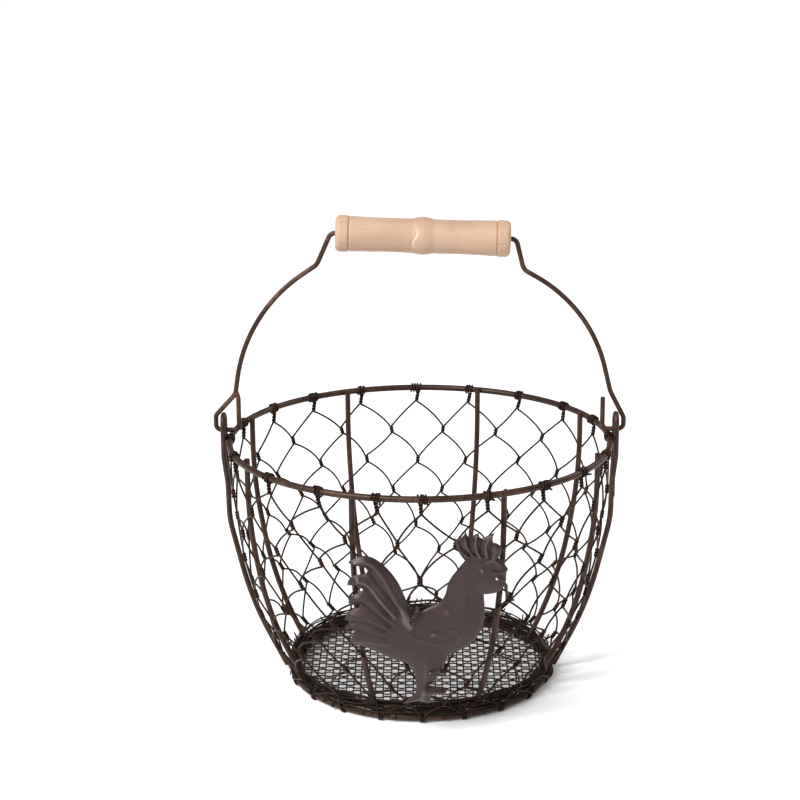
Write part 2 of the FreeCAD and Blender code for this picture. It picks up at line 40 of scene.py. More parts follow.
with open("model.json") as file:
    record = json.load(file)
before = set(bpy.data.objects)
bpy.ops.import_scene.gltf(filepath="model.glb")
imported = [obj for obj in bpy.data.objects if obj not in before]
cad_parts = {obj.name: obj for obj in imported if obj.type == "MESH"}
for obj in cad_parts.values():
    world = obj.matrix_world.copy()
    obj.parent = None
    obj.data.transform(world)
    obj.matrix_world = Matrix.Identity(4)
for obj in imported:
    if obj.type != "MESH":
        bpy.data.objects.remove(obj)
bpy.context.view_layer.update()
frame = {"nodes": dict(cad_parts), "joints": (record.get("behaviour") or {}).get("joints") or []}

MM = 0.001
TAU = 2 * math.pi
rng = random.Random(11)

# the wall's two bends, as radius and height, and the length that each bend is spread over
SHOULDER = (101.9, 100.4)
HIP = (90.4, 39.2)
WALL_BEND = 50.0
WALL_STEP = 0.5

# netting: two wires in each column's twists, in rows from the necks under the rim down
NET_WIRE = 1.08
TIE_WIRE = 0.85 * NET_WIRE
COLUMNS = 20
COLUMN_STEP = 360 / COLUMNS
ROW_HEIGHTS = (128.4, 110.5, 93.0, 75.5, 57.5, 42.5, 27.0, 13.5)
HALF_TURNS = 3
NECK_LENGTH = 5.4
TWIST_LENGTH = 4.6
TWIST_SWING = 0.6 * NET_WIRE
TWIST_INSET = 0.15
SWOLLEN = 1.14             # how much the paint thickens a wire in a twist

# degrees: the netting's turn from the front, columns pulled round, and the twists' leans
NET_TURN = 0.9
COLUMN_PULL = {-3: 4.0, -2: 4.6, -1: 4.8, 1: 0.2, 2: 1.0}
SWEEP = 4.0
LEAN = 34.0
LEAN_SPREAD = 7
NECK_LEANS = (4, 16)

SAG = 1.1                  # how much lower each row hangs between the sides
WANDER = 0.9               # how far a twist strays, in degrees round and millimetres up

# where a netting wire reaches the base ring: degrees aside, millimetres up and out
FOOT_ASIDE = 0.55
FOOT_UP = 2.3
FOOT_OUT = 2.0

# the netting's turns on the rings: angles go round a ring's wire, 0 outward and 90 up
RIM_START = -78
RIM_BACK_START = 255
RIM_GAP = 0.03
RIM_THIRD_TURNS = 0.3      # share of the rim's coils that have a third turn
RIM_LOOSE = 0.28
RIM_SPRING = (0.004, 0.011)
BASE_START = 48
BASE_GAP = 0.02
BASE_PITCH = NET_WIRE + 0.15

# turns of wire at the right ear's foot: degrees round, starting angle, turns, reach
FOOT_LASHINGS = ((73.5, 200, 3.4, 3.1), (79.0, 40, 2.6, 3.5))
LASHING_WIRE = 1.4
LASHING_PITCH = 2.1
LASHING_LIFT = 1.2
LASHING_LOWEST = 0.7
LASHING_LOOSE = 0.9

# floor cloth
CLOTH_WIRE = 0.85
CLOTH_PITCH = 4.0
CLOTH_CRIMP = 0.4
CLOTH_MARGIN = 2.6         # between the flat cloth's edge and the base ring's middle
OUTER_WIRE = 3             # the least distance of the last wire from the ring's middle
FOLDED_SHARE = 0.3         # cut ends that fold over the ring; the others turn up
UPTURN = (2.0, 6.5)        # how far those stand up inside the netting
UPTURN_ABOVE = 3.4         # where they start, up from the ring's middle
UPTURN_INSIDE = 1.3        # and in from the netting
# wires bound in with the cloth's edge: out from the base ring, up from it, and their sway
HEMS = [(-3.9, 4.1, 0.4), (-2.2, 5.2, 1.7), (-1.2, 6.6, 5.1), (-0.3, 7.9, 0.9), (0.9, 9.3, 3.6),
        (0.2, 4.3, 2.9), (2.4, 3.2, 4.4), (-0.8, 5.8, 2.2), (0.6, 8.5, 5.8), (-3.0, 6.1, 3.1),
        (1.9, 1.9, 5.4), (0.8, 2.8, 0.2), (-0.8, 3.0, 4.0), (-2.2, 1.9, 2.5), (1.5, 4.0, 1.3),
        (-2.8, 3.4, 3.4), (1.2, 5.0, 4.9), (0.9, 6.3, 0.7)]


# --------------------------------------------------------------------------- frame sizes

def ring_size(node):
    """Radius, height and wire of a ring, from its box."""
    low, high = (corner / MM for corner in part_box(node))
    wire = high.z - low.z
    return SimpleNamespace(radius=(high.x - low.x - wire) / 2, height=(high.z + low.z) / 2,
                           wire=wire)


RIM = ring_size("rim_ring")
BASE = ring_size("base_ring")


def node_points(name):
    """Every vertex of a packed node, in millimetres."""
    mesh = frame["nodes"][name].data
    points = np.zeros(len(mesh.vertices) * 3)
    mesh.vertices.foreach_get("co", points)
    return points.reshape(-1, 3) / MM


def wire_end(name, top, slope=0.8):
    """The middle of a wire's highest or lowest end, whose face slopes by up to slope."""
    points = node_points(name)
    height = points[:, 2].max() if top else points[:, 2].min()
    return points[abs(points[:, 2] - height) < slope].mean(axis=0)


def joint(name):
    """A joint of the packed frame, by name."""
    return next(item for item in frame["joints"] if item["name"] == name)


# --------------------------------------------------------------------------- wire work

def wire_frames(path, closed):
    """Two directions across a wire at each point of its path, carried along untwisted."""
    if closed:
        ahead = np.roll(path, -1, axis=0) - np.roll(path, 1, axis=0)
    else:
        ahead = np.gradient(path, axis=0)
    ahead /= np.linalg.norm(ahead, axis=1)[:, None]
    side = np.cross(ahead[0], (0, 0, 1) if abs(ahead[0][2]) < 0.9 else (1, 0, 0))
    across = [side / np.linalg.norm(side)]
    for direction in ahead[1:]:
        side = across[-1] - direction * np.dot(across[-1], direction)
        across.append(side / np.linalg.norm(side))
    across = np.array(across)
    return across, np.cross(ahead, across)


class Wirework:
    """Lengths of round wire gathered into one mesh."""

    def __init__(self, sides=8):
        self.sides = sides
        self.vertices = []
        self.faces = []
        self.count = 0

    def add(self, path, diameter, closed=False, swell=None):
        """One length of wire. swell scales its thickness from point to point."""
        path = np.array(path, float)
        radii = np.full(len(path), diameter / 2)
        if swell is not None:
            radii *= swell
        if not closed:
            path, radii = domed(path, radii)
        across, up = wire_frames(path, closed)
        angles = np.arange(self.sides) * TAU / self.sides
        circle = (np.cos(angles)[None, :, None] * across[:, None, :]
                  + np.sin(angles)[None, :, None] * up[:, None, :])
        rings = path[:, None, :] + radii[:, None, None] * circle
        self.vertices.append(rings.reshape(-1, 3))
        self.faces += ring_faces(len(path), self.sides, self.count, closed)
        if not closed:
            last = self.count + (len(path) - 1) * self.sides
            self.faces.append(tuple(self.count + side for side in reversed(range(self.sides))))
            self.faces.append(tuple(last + side for side in range(self.sides)))
        self.count += len(path) * self.sides

    def finish(self, name, material, *nodes, body="basket", slot="netting_wire"):
        """Makes the object, and puts it in place of the packed nodes that it stands for."""
        piece = mesh_piece(name, np.concatenate(self.vertices), self.faces, material)
        place_piece(piece, body, slot, *nodes)


def ring_faces(rings, sides, first=0, closed=False):
    """The four-sided faces between rings of vertices."""
    faces = []
    for ring in range(rings if closed else rings - 1):
        here = first + ring * sides
        there = first + (ring + 1) % rings * sides
        for side in range(sides):
            turn = (side + 1) % sides
            faces.append((here + side, here + turn, there + turn, there + side))
    return faces


def domed(path, radii):
    """Rounds a wire's cut ends by two rings, placed and sized by shares of its radius."""
    near, far = 0.3, 0.45
    wide, thin = 0.75, 0.35
    start = path[0] - path[1]
    end = path[-1] - path[-2]
    start *= radii[0] / np.linalg.norm(start)
    end *= radii[-1] / np.linalg.norm(end)
    path = np.vstack([path[0] + far * start, path[0] + near * start, path,
                      path[-1] + near * end, path[-1] + far * end])
    radii = np.concatenate([[thin * radii[0], wide * radii[0]], radii,
                            [wide * radii[-1], thin * radii[-1]]])
    return path, radii


def mesh_piece(name, vertices, faces, material):
    """A smooth-shaded mesh object from millimetre vertices."""
    mesh = bpy.data.meshes.new(name)
    mesh.from_pydata((np.asarray(vertices) * MM).tolist(), [], faces)
    mesh.polygons.foreach_set("use_smooth", [True] * len(mesh.polygons))
    mesh.materials.append(material)
    mesh.validate()
    piece = bpy.data.objects.new(name, mesh)
    bpy.context.scene.collection.objects.link(piece)
    return piece


def add_mask(piece, name, values):
    """Stores one value at each vertex, for the material to read."""
    layer = piece.data.attributes.new(name, "FLOAT", "POINT")
    layer.data.foreach_set("value", np.array(values, np.float32))


def place_piece(piece, body, slot, *nodes):
    """Hangs a piece on the empty of the body it rides on, and hides the packed nodes that it
    stands for. slot is not used.
    """
    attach(piece, body)
    if nodes:
        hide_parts(*nodes)


def smooth_line(points, steps=8):
    """A smooth line through points, as many steps between each two."""
    points = np.array(points, float)
    padded = np.vstack([2 * points[0] - points[1], points, 2 * points[-1] - points[-2]])
    line = []
    for before, start, end, after in zip(padded, padded[1:], padded[2:], padded[3:]):
        for step in range(steps):
            part = step / steps
            line.append(0.5 * (2 * start + (end - before) * part
                               + (2 * before - 5 * start + 4 * end - after) * part ** 2
                               + (3 * start - before - 3 * end + after) * part ** 3))
    line.append(points[-1])
    return np.array(line)


# --------------------------------------------------------------------------- shader groups

def shader_node(tree, kind, **settings):
    """Adds a node and sets its named properties."""
    node = tree.nodes.new(kind)
    for key, value in settings.items():
        setattr(node, key, value)
    return node


def new_group(name, inputs, outputs):
    """An empty shader node group with named inputs and outputs."""
    group = bpy.data.node_groups.new(name, "ShaderNodeTree")
    for label, kind, default in inputs:
        socket = group.interface.new_socket(label, in_out="INPUT", socket_type=kind)
        socket.default_value = default
    for label, kind in outputs:
        group.interface.new_socket(label, in_out="OUTPUT", socket_type=kind)
    return group, group.nodes.new("NodeGroupInput"), group.nodes.new("NodeGroupOutput")


def noise_node(group, place, scale, detail=4.0, roughness=0.55):
    """A noise texture that reads a place and a scale socket."""
    texture = shader_node(group, "ShaderNodeTexNoise")
    texture.inputs["Detail"].default_value = detail
    texture.inputs["Roughness"].default_value = roughness
    group.links.new(place, texture.inputs["Vector"])
    if isinstance(scale, (int, float)):
        texture.inputs["Scale"].default_value = scale
    else:
        group.links.new(scale, texture.inputs["Scale"])
    return texture.outputs["Fac"]


def math_node(group, operation, first, second=0.0, clamp=False):
    """A math node whose inputs are sockets or numbers."""
    node = shader_node(group, "ShaderNodeMath", operation=operation, use_clamp=clamp)
    for socket, value in zip(node.inputs, (first, second)):
        if isinstance(value, (int, float)):
            socket.default_value = value
        else:
            group.links.new(value, socket)
    return node.outputs[0]


def range_node(group, value, low, high, new_low=0.0, new_high=1.0):
    """Maps a value from one range to another, smoothly and without overshoot."""
    node = shader_node(group, "ShaderNodeMapRange", interpolation_type="SMOOTHSTEP")
    group.links.new(value, node.inputs["Value"])
    for label, number in (("From Min", low), ("From Max", high),
                          ("To Min", new_low), ("To Max", new_high)):
        node.inputs[label].default_value = number
    return node.outputs["Result"]


def mix_node(group, factor, first, second):
    """Mixes two colours, each a socket or a plain colour."""
    node = shader_node(group, "ShaderNodeMix", data_type="RGBA")
    for socket, value in ((node.inputs[0], factor), (node.inputs[6], first),
                          (node.inputs[7], second)):
        if isinstance(value, (int, float, tuple)):
            socket.default_value = value
        else:
            group.links.new(value, socket)
    return node.outputs[2]


def baked_paint_group():
    """Brown baked paint over wire: blotches, rubbed patches, dust specks and fine lumps."""
    group, given, out = new_group(
        "baked_paint",
        [("Paint", "NodeSocketColor", (0.04, 0.025, 0.02, 1)),
         ("Rubbed", "NodeSocketColor", (0.12, 0.06, 0.045, 1)),
         ("Dust", "NodeSocketColor", (0.3, 0.26, 0.24, 1)),
         ("Rubbing", "NodeSocketFloat", 0.5),
         ("Scale", "NodeSocketFloat", 60.0)],
        [("Colour", "NodeSocketColor"), ("Roughness", "NodeSocketFloat"),
         ("Height", "NodeSocketFloat")])
    place = shader_node(group, "ShaderNodeTexCoord").outputs["Object"]
    scale = given.outputs["Scale"]
    blotch = noise_node(group, place, scale, 5.0)
    fine = noise_node(group, place, math_node(group, "MULTIPLY", scale, 9.0), 6.0, 0.65)
    speck = noise_node(group, place, math_node(group, "MULTIPLY", scale, 22.0), 2.0, 0.5)
    patches = range_node(group, blotch, 0.45, 0.68)
    worn = math_node(group, "MULTIPLY", patches, given.outputs["Rubbing"], clamp=True)
    worn_fine = math_node(group, "MULTIPLY", worn, range_node(group, fine, 0.35, 0.6))
    dusty = range_node(group, speck, 0.68, 0.76, 0.0, 0.5)
    colour = mix_node(group, worn_fine, given.outputs["Paint"], given.outputs["Rubbed"])
    colour = mix_node(group, dusty, colour, given.outputs["Dust"])
    group.links.new(colour, out.inputs["Colour"])
    gloss = range_node(group, fine, 0.3, 0.7, 0.3, 0.52)
    group.links.new(math_node(group, "ADD", gloss, math_node(group, "MULTIPLY", worn, 0.12)),
                    out.inputs["Roughness"])
    lumps = math_node(group, "ADD", math_node(group, "MULTIPLY", blotch, 0.6),
                      math_node(group, "MULTIPLY", fine, 0.4))
    group.links.new(lumps, out.inputs["Height"])
    return group


BAKED_PAINT = baked_paint_group()


def start_material(name):
    """A material with its Principled shader."""
    material = bpy.data.materials.new(name)
    material.use_nodes = True
    return material, material.node_tree, material.node_tree.nodes["Principled BSDF"]


def add_bump(tree, shader, height, strength, depth):
    """Feeds a height into the shader's normal. depth is in millimetres."""
    bump = shader_node(tree, "ShaderNodeBump")
    bump.inputs["Strength"].default_value = strength
    bump.inputs["Distance"].default_value = depth * MM
    tree.links.new(height, bump.inputs["Height"])
    tree.links.new(bump.outputs["Normal"], shader.inputs["Normal"])


def baked_coat(tree, **values):
    """Places the baked paint in a material, with its own values."""
    coat = shader_node(tree, "ShaderNodeGroup")
    coat.node_tree = BAKED_PAINT
    for label, value in values.items():
        coat.inputs[label].default_value = value
    return coat


def mask_value(tree, name):
    """Reads a value stored at the vertices."""
    return shader_node(tree, "ShaderNodeAttribute", attribute_name=name).outputs["Fac"]


def painted_wire(name, paint, rubbed, rubbing, scale, bump=0.35, depth=0.25, shine=0.4):
    """Baked paint on wire, with its own colours and wear."""
    material, tree, shader = start_material(name)
    coat = baked_coat(tree, Paint=paint, Rubbed=rubbed, Rubbing=rubbing, Scale=scale)
    tree.links.new(coat.outputs["Colour"], shader.inputs["Base Color"])
    tree.links.new(coat.outputs["Roughness"], shader.inputs["Roughness"])
    shader.inputs["Metallic"].default_value = 0.15
    shader.inputs["Specular IOR Level"].default_value = shine
    shader.inputs["Specular Tint"].default_value = (1.0, 0.80, 0.66, 1)
    add_bump(tree, shader, coat.outputs["Height"], bump, depth)
    return material


def rooster_paint():
    """Satin grey-brown paint on the stamped sheet, with a painted highlight where the stamping
    stands up and painted shade in its grooves.
    """
    material, tree, shader = start_material("rooster_satin_paint")
    coat = baked_coat(tree, Paint=(0.027, 0.0145, 0.0145, 1), Rubbed=(0.037, 0.021, 0.020, 1),
                      Dust=(0.050, 0.032, 0.031, 1), Rubbing=0.7, Scale=45.0)
    # painted highlight: the stamped ridges and bumps are coloured paler than the paint; painted
    # shade: the grooves are coloured darker
    painted_ridge_highlight = (0.135, 0.105, 0.098, 1)
    painted_groove_shade = (0.008, 0.005, 0.005, 1)
    raised_and_highlight = range_node(tree, mask_value(tree, "raised_and_highlight"), 0.35, 1.3, 0.0, 0.7)
    colour = mix_node(tree, raised_and_highlight, coat.outputs["Colour"], painted_ridge_highlight)
    sunk_and_shade = range_node(tree, mask_value(tree, "sunk_and_shade"), 0.1, 0.9, 0.0, 0.8)
    colour = mix_node(tree, sunk_and_shade, colour, painted_groove_shade)
    tree.links.new(colour, shader.inputs["Base Color"])
    rough = math_node(tree, "ADD", coat.outputs["Roughness"], -0.02)
    tree.links.new(rough, shader.inputs["Roughness"])
    shader.inputs["Metallic"].default_value = 0.1
    shader.inputs["Specular IOR Level"].default_value = 0.42
    shader.inputs["Specular Tint"].default_value = (1.0, 0.90, 0.88, 1)
    add_bump(tree, shader, coat.outputs["Height"], 0.3, 0.2)
    return material


def grip_wood(along):
    """Pale turned wood: long grain, pores, broad warmer patches and small marks."""
    material, tree, shader = start_material("grip_pale_wood")
    place = shader_node(tree, "ShaderNodeTexCoord").outputs["Object"]
    stretch = shader_node(tree, "ShaderNodeMapping")
    stretch.inputs["Scale"].default_value = (0.06, 1.0, 1.0)
    stretch.inputs["Rotation"].default_value = (0, along, 0)
    tree.links.new(place, stretch.inputs["Vector"])
    grain_place = stretch.outputs["Vector"]
    broad = noise_node(tree, place, 32.0, 3.0)
    grain = noise_node(tree, grain_place, 420.0, 5.0, 0.6)
    pores = noise_node(tree, grain_place, 1500.0, 3.0, 0.6)
    marks = noise_node(tree, place, 95.0, 4.0, 0.7)
    pale_wood, warm_wood = (0.49, 0.32, 0.215, 1), (0.445, 0.28, 0.19, 1)
    colour = mix_node(tree, range_node(tree, broad, 0.35, 0.65), pale_wood, warm_wood)
    # each layer over the wood: what it follows, where it begins and is full, how strong it is
    for value, low, high, strength, layer in (
            (grain, 0.42, 0.68, 0.3, (0.54, 0.39, 0.27, 1)),
            (pores, 0.60, 0.78, 0.28, (0.35, 0.21, 0.135, 1)),
            (marks, 0.66, 0.78, 0.45, (0.38, 0.21, 0.135, 1)),
            (mask_value(tree, "scar"), 0.2, 1.0, 0.8, (0.74, 0.61, 0.47, 1)),
            # painted shade: darker in the groove behind each bead, in the nicks and inside the
            # bore
            (mask_value(tree, "recess_shade"), 0.1, 1.0, 0.6, (0.34, 0.19, 0.12, 1))):
        colour = mix_node(tree, range_node(tree, value, low, high, 0.0, strength), colour, layer)
    tree.links.new(colour, shader.inputs["Base Color"])
    tree.links.new(range_node(tree, grain, 0.3, 0.7, 0.42, 0.6), shader.inputs["Roughness"])
    shader.inputs["Specular IOR Level"].default_value = 0.35
    height = math_node(tree, "SUBTRACT", math_node(tree, "MULTIPLY", grain, 0.5), pores)
    add_bump(tree, shader, height, 0.25, 0.12)
    return material


# --------------------------------------------------------------------------- netting wall

class Wall:
    """The netting's surface: degrees from the front, millimetres down, millimetres out."""

    def __init__(self):
        corners = [(RIM.radius, RIM.height), SHOULDER, HIP, (BASE.radius, BASE.height)]
        corners = np.array(corners)
        runs = np.concatenate([[0], np.cumsum(np.hypot(*np.diff(corners, axis=0).T))])
        beyond = WALL_BEND
        self.down = np.arange(-beyond, runs[-1] + beyond, WALL_STEP)
        first = (corners[1] - corners[0]) / runs[1]
        last = (corners[-1] - corners[-2]) / (runs[-1] - runs[-2])
        runs = np.concatenate([[-beyond], runs, [runs[-1] + beyond]])
        corners = np.vstack([corners[0] - first * beyond, corners, corners[-1] + last * beyond])
        window = np.ones(int(WALL_BEND / WALL_STEP) | 1)
        window /= len(window)
        side = len(window) // 2
        lines = []
        for column in corners.T:
            line = np.interp(self.down, runs, column)
            line[side:-side] = np.convolve(line, window, "valid")
            lines.append(line)
        self.radius, self.height = lines
        slope = np.gradient(self.radius, self.down), np.gradient(self.height, self.down)
        self.out_radius, self.out_height = -slope[1], slope[0]

    def depth(self, height):
        """How far down the wall a height is."""
        return np.interp(-height, -self.height, self.down)

    def place(self, degrees, down, out):
        """Points on, inside or outside the wall."""
        radius = np.interp(down, self.down, self.radius)
        radius = radius + out * np.interp(down, self.down, self.out_radius)
        height = np.interp(down, self.down, self.height)
        height = height + out * np.interp(down, self.down, self.out_height)
        turn = np.radians(degrees)
        return np.stack([radius * np.sin(turn), -radius * np.cos(turn), height], axis=-1)


WALL = Wall()


def make_twist(row, column):
    """One twist of the netting: its place, its length and its lean."""
    odd = row % 2
    degrees = NET_TURN + COLUMN_STEP * (column + odd / 2) + rng.uniform(-WANDER, WANDER)
    following = (column + 1 + COLUMNS // 2) % COLUMNS - COLUMNS // 2
    pull = COLUMN_PULL.get(column, 0.0)
    if odd:
        pull = (pull + COLUMN_PULL.get(following, 0.0)) / 2
    turn = math.radians(degrees)
    degrees += pull - SWEEP * math.sin(2 * turn) * row / len(ROW_HEIGHTS)
    lowest = row == len(ROW_HEIGHTS) - 1
    height = ROW_HEIGHTS[row] - (0 if lowest else SAG * row * math.cos(4 * turn))
    if row == 0:
        length = NECK_LENGTH
        lean = rng.uniform(*NECK_LEANS)
    else:
        height += rng.uniform(-WANDER, WANDER)
        length = TWIST_LENGTH
        lean = -LEAN * math.sin(2 * turn) * (0.45 + 0.55 * min(row, 5) / 5)
        lean += rng.uniform(-LEAN_SPREAD, LEAN_SPREAD)
    return SimpleNamespace(degrees=degrees, down=WALL.depth(height), length=length,
                           lean=math.radians(lean))


def make_twists():
    """Every twist of the netting, by row and column."""
    half = COLUMNS // 2
    return {(row, column): make_twist(row, column)
            for row in range(len(ROW_HEIGHTS)) for column in range(-half, half)}


TWISTS = make_twists()


def twist_of(row, column):
    """A twist by row and column, with columns counted round the basket."""
    half = COLUMNS // 2
    wrapped = (column + half) % COLUMNS - half
    twist = SimpleNamespace(**vars(TWISTS[row, wrapped]))
    twist.degrees += 360 * round((column - wrapped) / COLUMNS)
    return twist


def twisted(twist, starts_left):
    """One of a twist's two wires, as degrees, down and out along the wall."""
    part = np.linspace(0, 1, 5 * HALF_TURNS + 1)
    along = (part - 0.5) * twist.length
    angle = math.pi * (starts_left + HALF_TURNS * part)
    across = TWIST_SWING * np.cos(angle)
    right = across * math.cos(twist.lean) + along * math.sin(twist.lean)
    down = along * math.cos(twist.lean) - across * math.sin(twist.lean)
    radius = np.interp(twist.down, WALL.down, WALL.radius)
    return np.stack([twist.degrees + np.degrees(right / radius), twist.down + down,
                     TWIST_SWING * np.sin(angle) - TWIST_INSET], axis=1)


def strand(start, end, hook):
    """The stretch between two twists: nearly straight, or drawn down into a hook.

    Two handles shape it. They stand at shares of its run, round and down the wall."""
    run = end - start
    if hook:
        pull = hook * rng.uniform(0.8, 1.1)
        near = start + run * (0.33 + 0.27 * pull, 0.33 - 0.12 * pull, 0)
        far = start + run * (0.67 + 0.3 * pull, 0.67 - 0.1 * pull, 0)
    else:
        sway = rng.uniform(-0.05, 0.07)
        near = start + run * (0.33 - sway, 0.33 + sway, 0)
        far = start + run * (0.67 - sway, 0.67 + sway, 0)
    part = np.linspace(0, 1, 12)[1:-1, None]
    line = (start * (1 - part) ** 3 + 3 * near * part * (1 - part) ** 2
            + 3 * far * part ** 2 * (1 - part) + end * part ** 3)
    line[:, 2] += rng.uniform(-0.35, 0.1) * np.sin(math.pi * part[:, 0])
    return line


def base_hook_start(column, to_right):
    """Where a netting wire reaches the outside of the base ring, on the wall."""
    degrees = NET_TURN + COLUMN_STEP * column + (-FOOT_ASIDE if to_right else FOOT_ASIDE)
    return np.array([degrees, WALL.depth(BASE.height + FOOT_UP), FOOT_OUT])


def net_wire_path(column, to_right):
    """One netting wire from rim to base: always down to the right, or always to the left.

    Returns its points and how much the paint thickens it, which is most in the twists."""
    parts = []
    rows = len(ROW_HEIGHTS)
    for row in range(rows):
        steps = row // 2 if to_right else (row + 1) // 2
        place = column + steps if to_right else column - steps
        here = twisted(twist_of(row, place), to_right)
        if parts:
            hook = 0 if to_right else 0.25 + 0.6 * min(row / 5, 1)
            parts.append(strand(parts[-1][-1], here[0], hook))
        parts.append(here)
    foot = place + 1 if to_right else place
    hook_start = base_hook_start(foot, to_right)
    parts += [strand(parts[-1][-1], hook_start, 0), hook_start[None, :]]
    swell = np.concatenate([np.full(len(part), 1.0 if index % 2 or index >= 2 * rows else SWOLLEN)
                            for index, part in enumerate(parts)])
    line = np.vstack(parts)
    return WALL.place(line[:, 0], line[:, 1], line[:, 2]), swell


def make_netting(material):
    """Forty wires, each twisted with its neighbours all the way down."""
    work = Wirework(sides=7)
    for column in range(COLUMNS):
        for to_right in (True, False):
            path, swell = net_wire_path(column, to_right)
            work.add(path, NET_WIRE, swell=swell)
    work.finish("side_netting_wires", material, "side_netting")


def coil_points(ring, degrees, start, turns, pitch, reach, steps=14):
    """Turns of wire round a ring's wire, from a starting angle, moving sideways."""
    count = max(int(abs(turns) * steps), 3)
    part = np.linspace(0, 1, count + 1)
    angle = np.radians(start) + part * turns * TAU
    round_turn = np.radians(degrees) + part * abs(turns) * pitch / ring.radius
    radius = ring.radius + reach * np.cos(angle)
    height = ring.height + reach * np.sin(angle)
    return np.stack([radius * np.sin(round_turn), -radius * np.cos(round_turn), height], axis=1)


def loosened(path, amount):
    """A wound wire pulled a little off its round."""
    start = rng.uniform(0, 40)
    lift = [noise.noise_vector(Vector((start + step * 0.16, 0, 0))) for step in range(len(path))]
    return path + amount * np.array([offset[:] for offset in lift])


def make_rim_coils(material):
    """Where the netting's wires are wound on the rim and cut."""
    work = Wirework()
    reach = (RIM.wire + NET_WIRE) / 2 + RIM_GAP
    for column in range(-COLUMNS // 2, COLUMNS // 2):
        neck = twist_of(0, column)
        left, right = twisted(neck, True)[0], twisted(neck, False)[0]
        turns = 2 + (rng.random() < RIM_THIRD_TURNS) + rng.uniform(-0.12, 0.1)
        pitch = NET_WIRE + rng.uniform(0.1, 0.5)
        coil = coil_points(RIM, left[0] + 0.15, RIM_START, turns, pitch, reach)
        coil = loosened(coil, RIM_LOOSE)
        sprung = coil[-1] + (coil[-1] - coil[-2]) * 1.2
        sprung[:2] *= 1 + rng.uniform(*RIM_SPRING)
        start = WALL.place(left[0], left[1], left[2])
        work.add(np.vstack([start, coil, sprung]), NET_WIRE)
        turns = -rng.uniform(0.45, 0.8)
        back = coil_points(RIM, right[0] - 0.9, RIM_BACK_START, turns, -NET_WIRE, reach)
        work.add(np.vstack([WALL.place(right[0], right[1], right[2]), back]), NET_WIRE)
    work.finish("rim_coils", material, "rim_wraps")


def make_base_coils(material):
    """Where the netting's wires are wound on the base ring and cut."""
    work = Wirework()
    reach = (BASE.wire + NET_WIRE) / 2 + BASE_GAP
    for column in range(-COLUMNS // 2, COLUMNS // 2):
        for to_right in (True, False):
            start = base_hook_start(column, to_right)
            sideways = BASE_PITCH if to_right else -BASE_PITCH
            turns = -rng.uniform(1.0, 1.7)
            coil = coil_points(BASE, start[0], BASE_START, turns, sideways, reach)
            work.add(np.vstack([WALL.place(*start), coil]), NET_WIRE)
    work.finish("base_coils", material, "base_wraps")


def make_foot_lashing(material):
    """A few loose turns of wire where the right ear's foot meets the base ring."""
    work = Wirework()
    for degrees, start, turns, reach in FOOT_LASHINGS:
        coil = coil_points(BASE, degrees, start, -turns, LASHING_PITCH, reach)
        coil[:, 2] = np.maximum(coil[:, 2] + LASHING_LIFT, LASHING_LOWEST)
        work.add(loosened(coil, LASHING_LOOSE), LASHING_WIRE)
    work.finish("foot_lashing", material)


# --------------------------------------------------------------------------- floor cloth

def cloth_wire_path(offset, along_x, phase):
    """One crimped wire of the floor cloth, with its two cut ends."""
    low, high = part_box("base_cloth")
    middle = (low.z + high.z) / 2 / MM
    edge = BASE.radius - CLOTH_MARGIN
    half = math.sqrt(edge ** 2 - offset ** 2)
    steps = max(int(2 * half / (CLOTH_PITCH / 3)), 4)
    along = np.linspace(-half, half, steps + 1)
    crimp = CLOTH_CRIMP * np.cos(math.pi * (along / CLOTH_PITCH + 0.5) + math.pi * phase)
    drift = 0.25 * np.sin(along / 23 + offset)
    line = np.stack([along, offset + drift, middle + crimp], axis=1)
    if not along_x:
        line = line[:, (1, 0, 2)]
    return np.vstack([cloth_end(line[0])[::-1], line, cloth_end(line[-1])])


def cloth_end(point):
    """A cut end of a cloth wire: most turn up inside the netting, some fold over the ring."""
    degrees = math.degrees(math.atan2(point[0], -point[1]))
    if rng.random() < FOLDED_SHARE:
        reach = (BASE.wire + CLOTH_WIRE) / 2 + rng.uniform(0.2, 0.9)
        return coil_points(BASE, degrees, rng.uniform(84, 100), -rng.uniform(0.12, 0.33),
                           rng.uniform(-2.5, 2.5), reach)
    top = rng.uniform(*UPTURN)
    steps = np.linspace(0, 1, 6)
    degrees = degrees + rng.uniform(-3.5, 3.5) * steps
    down = WALL.depth(BASE.height + UPTURN_ABOVE + top * steps)
    return WALL.place(degrees, down, -UPTURN_INSIDE + rng.uniform(-0.5, 0.4) * steps)


def hem_path(radius, height, sway):
    """A wire bound in with the cloth's cut edge, all the way round and a little wavy."""
    turn = np.linspace(0, TAU, 180, endpoint=False)
    out = BASE.radius + radius + 0.35 * np.sin(7 * turn + sway) + 0.2 * np.sin(19 * turn)
    up = BASE.height + height + 0.35 * np.sin(11 * turn + 2 * sway) + 0.25 * np.sin(23 * turn)
    return np.stack([out * np.sin(turn), -out * np.cos(turn), up], axis=1)


def make_floor_cloth(material):
    """Crimped wires crossing over and under each other."""
    work = Wirework(sides=6)
    count = int((BASE.radius - OUTER_WIRE) // CLOTH_PITCH)
    for index in range(-count, count + 1):
        for along_x in (True, False):
            phase = index + (1 if along_x else 0)
            work.add(cloth_wire_path(index * CLOTH_PITCH, along_x, phase), CLOTH_WIRE)
    for radius, height, sway in HEMS:
        work.add(hem_path(radius, height, sway), CLOTH_WIRE, closed=True)
    work.finish("floor_cloth_wires", material, "base_cloth", slot="cloth_wire")


# --------------------------------------------------------------------------- weld beads

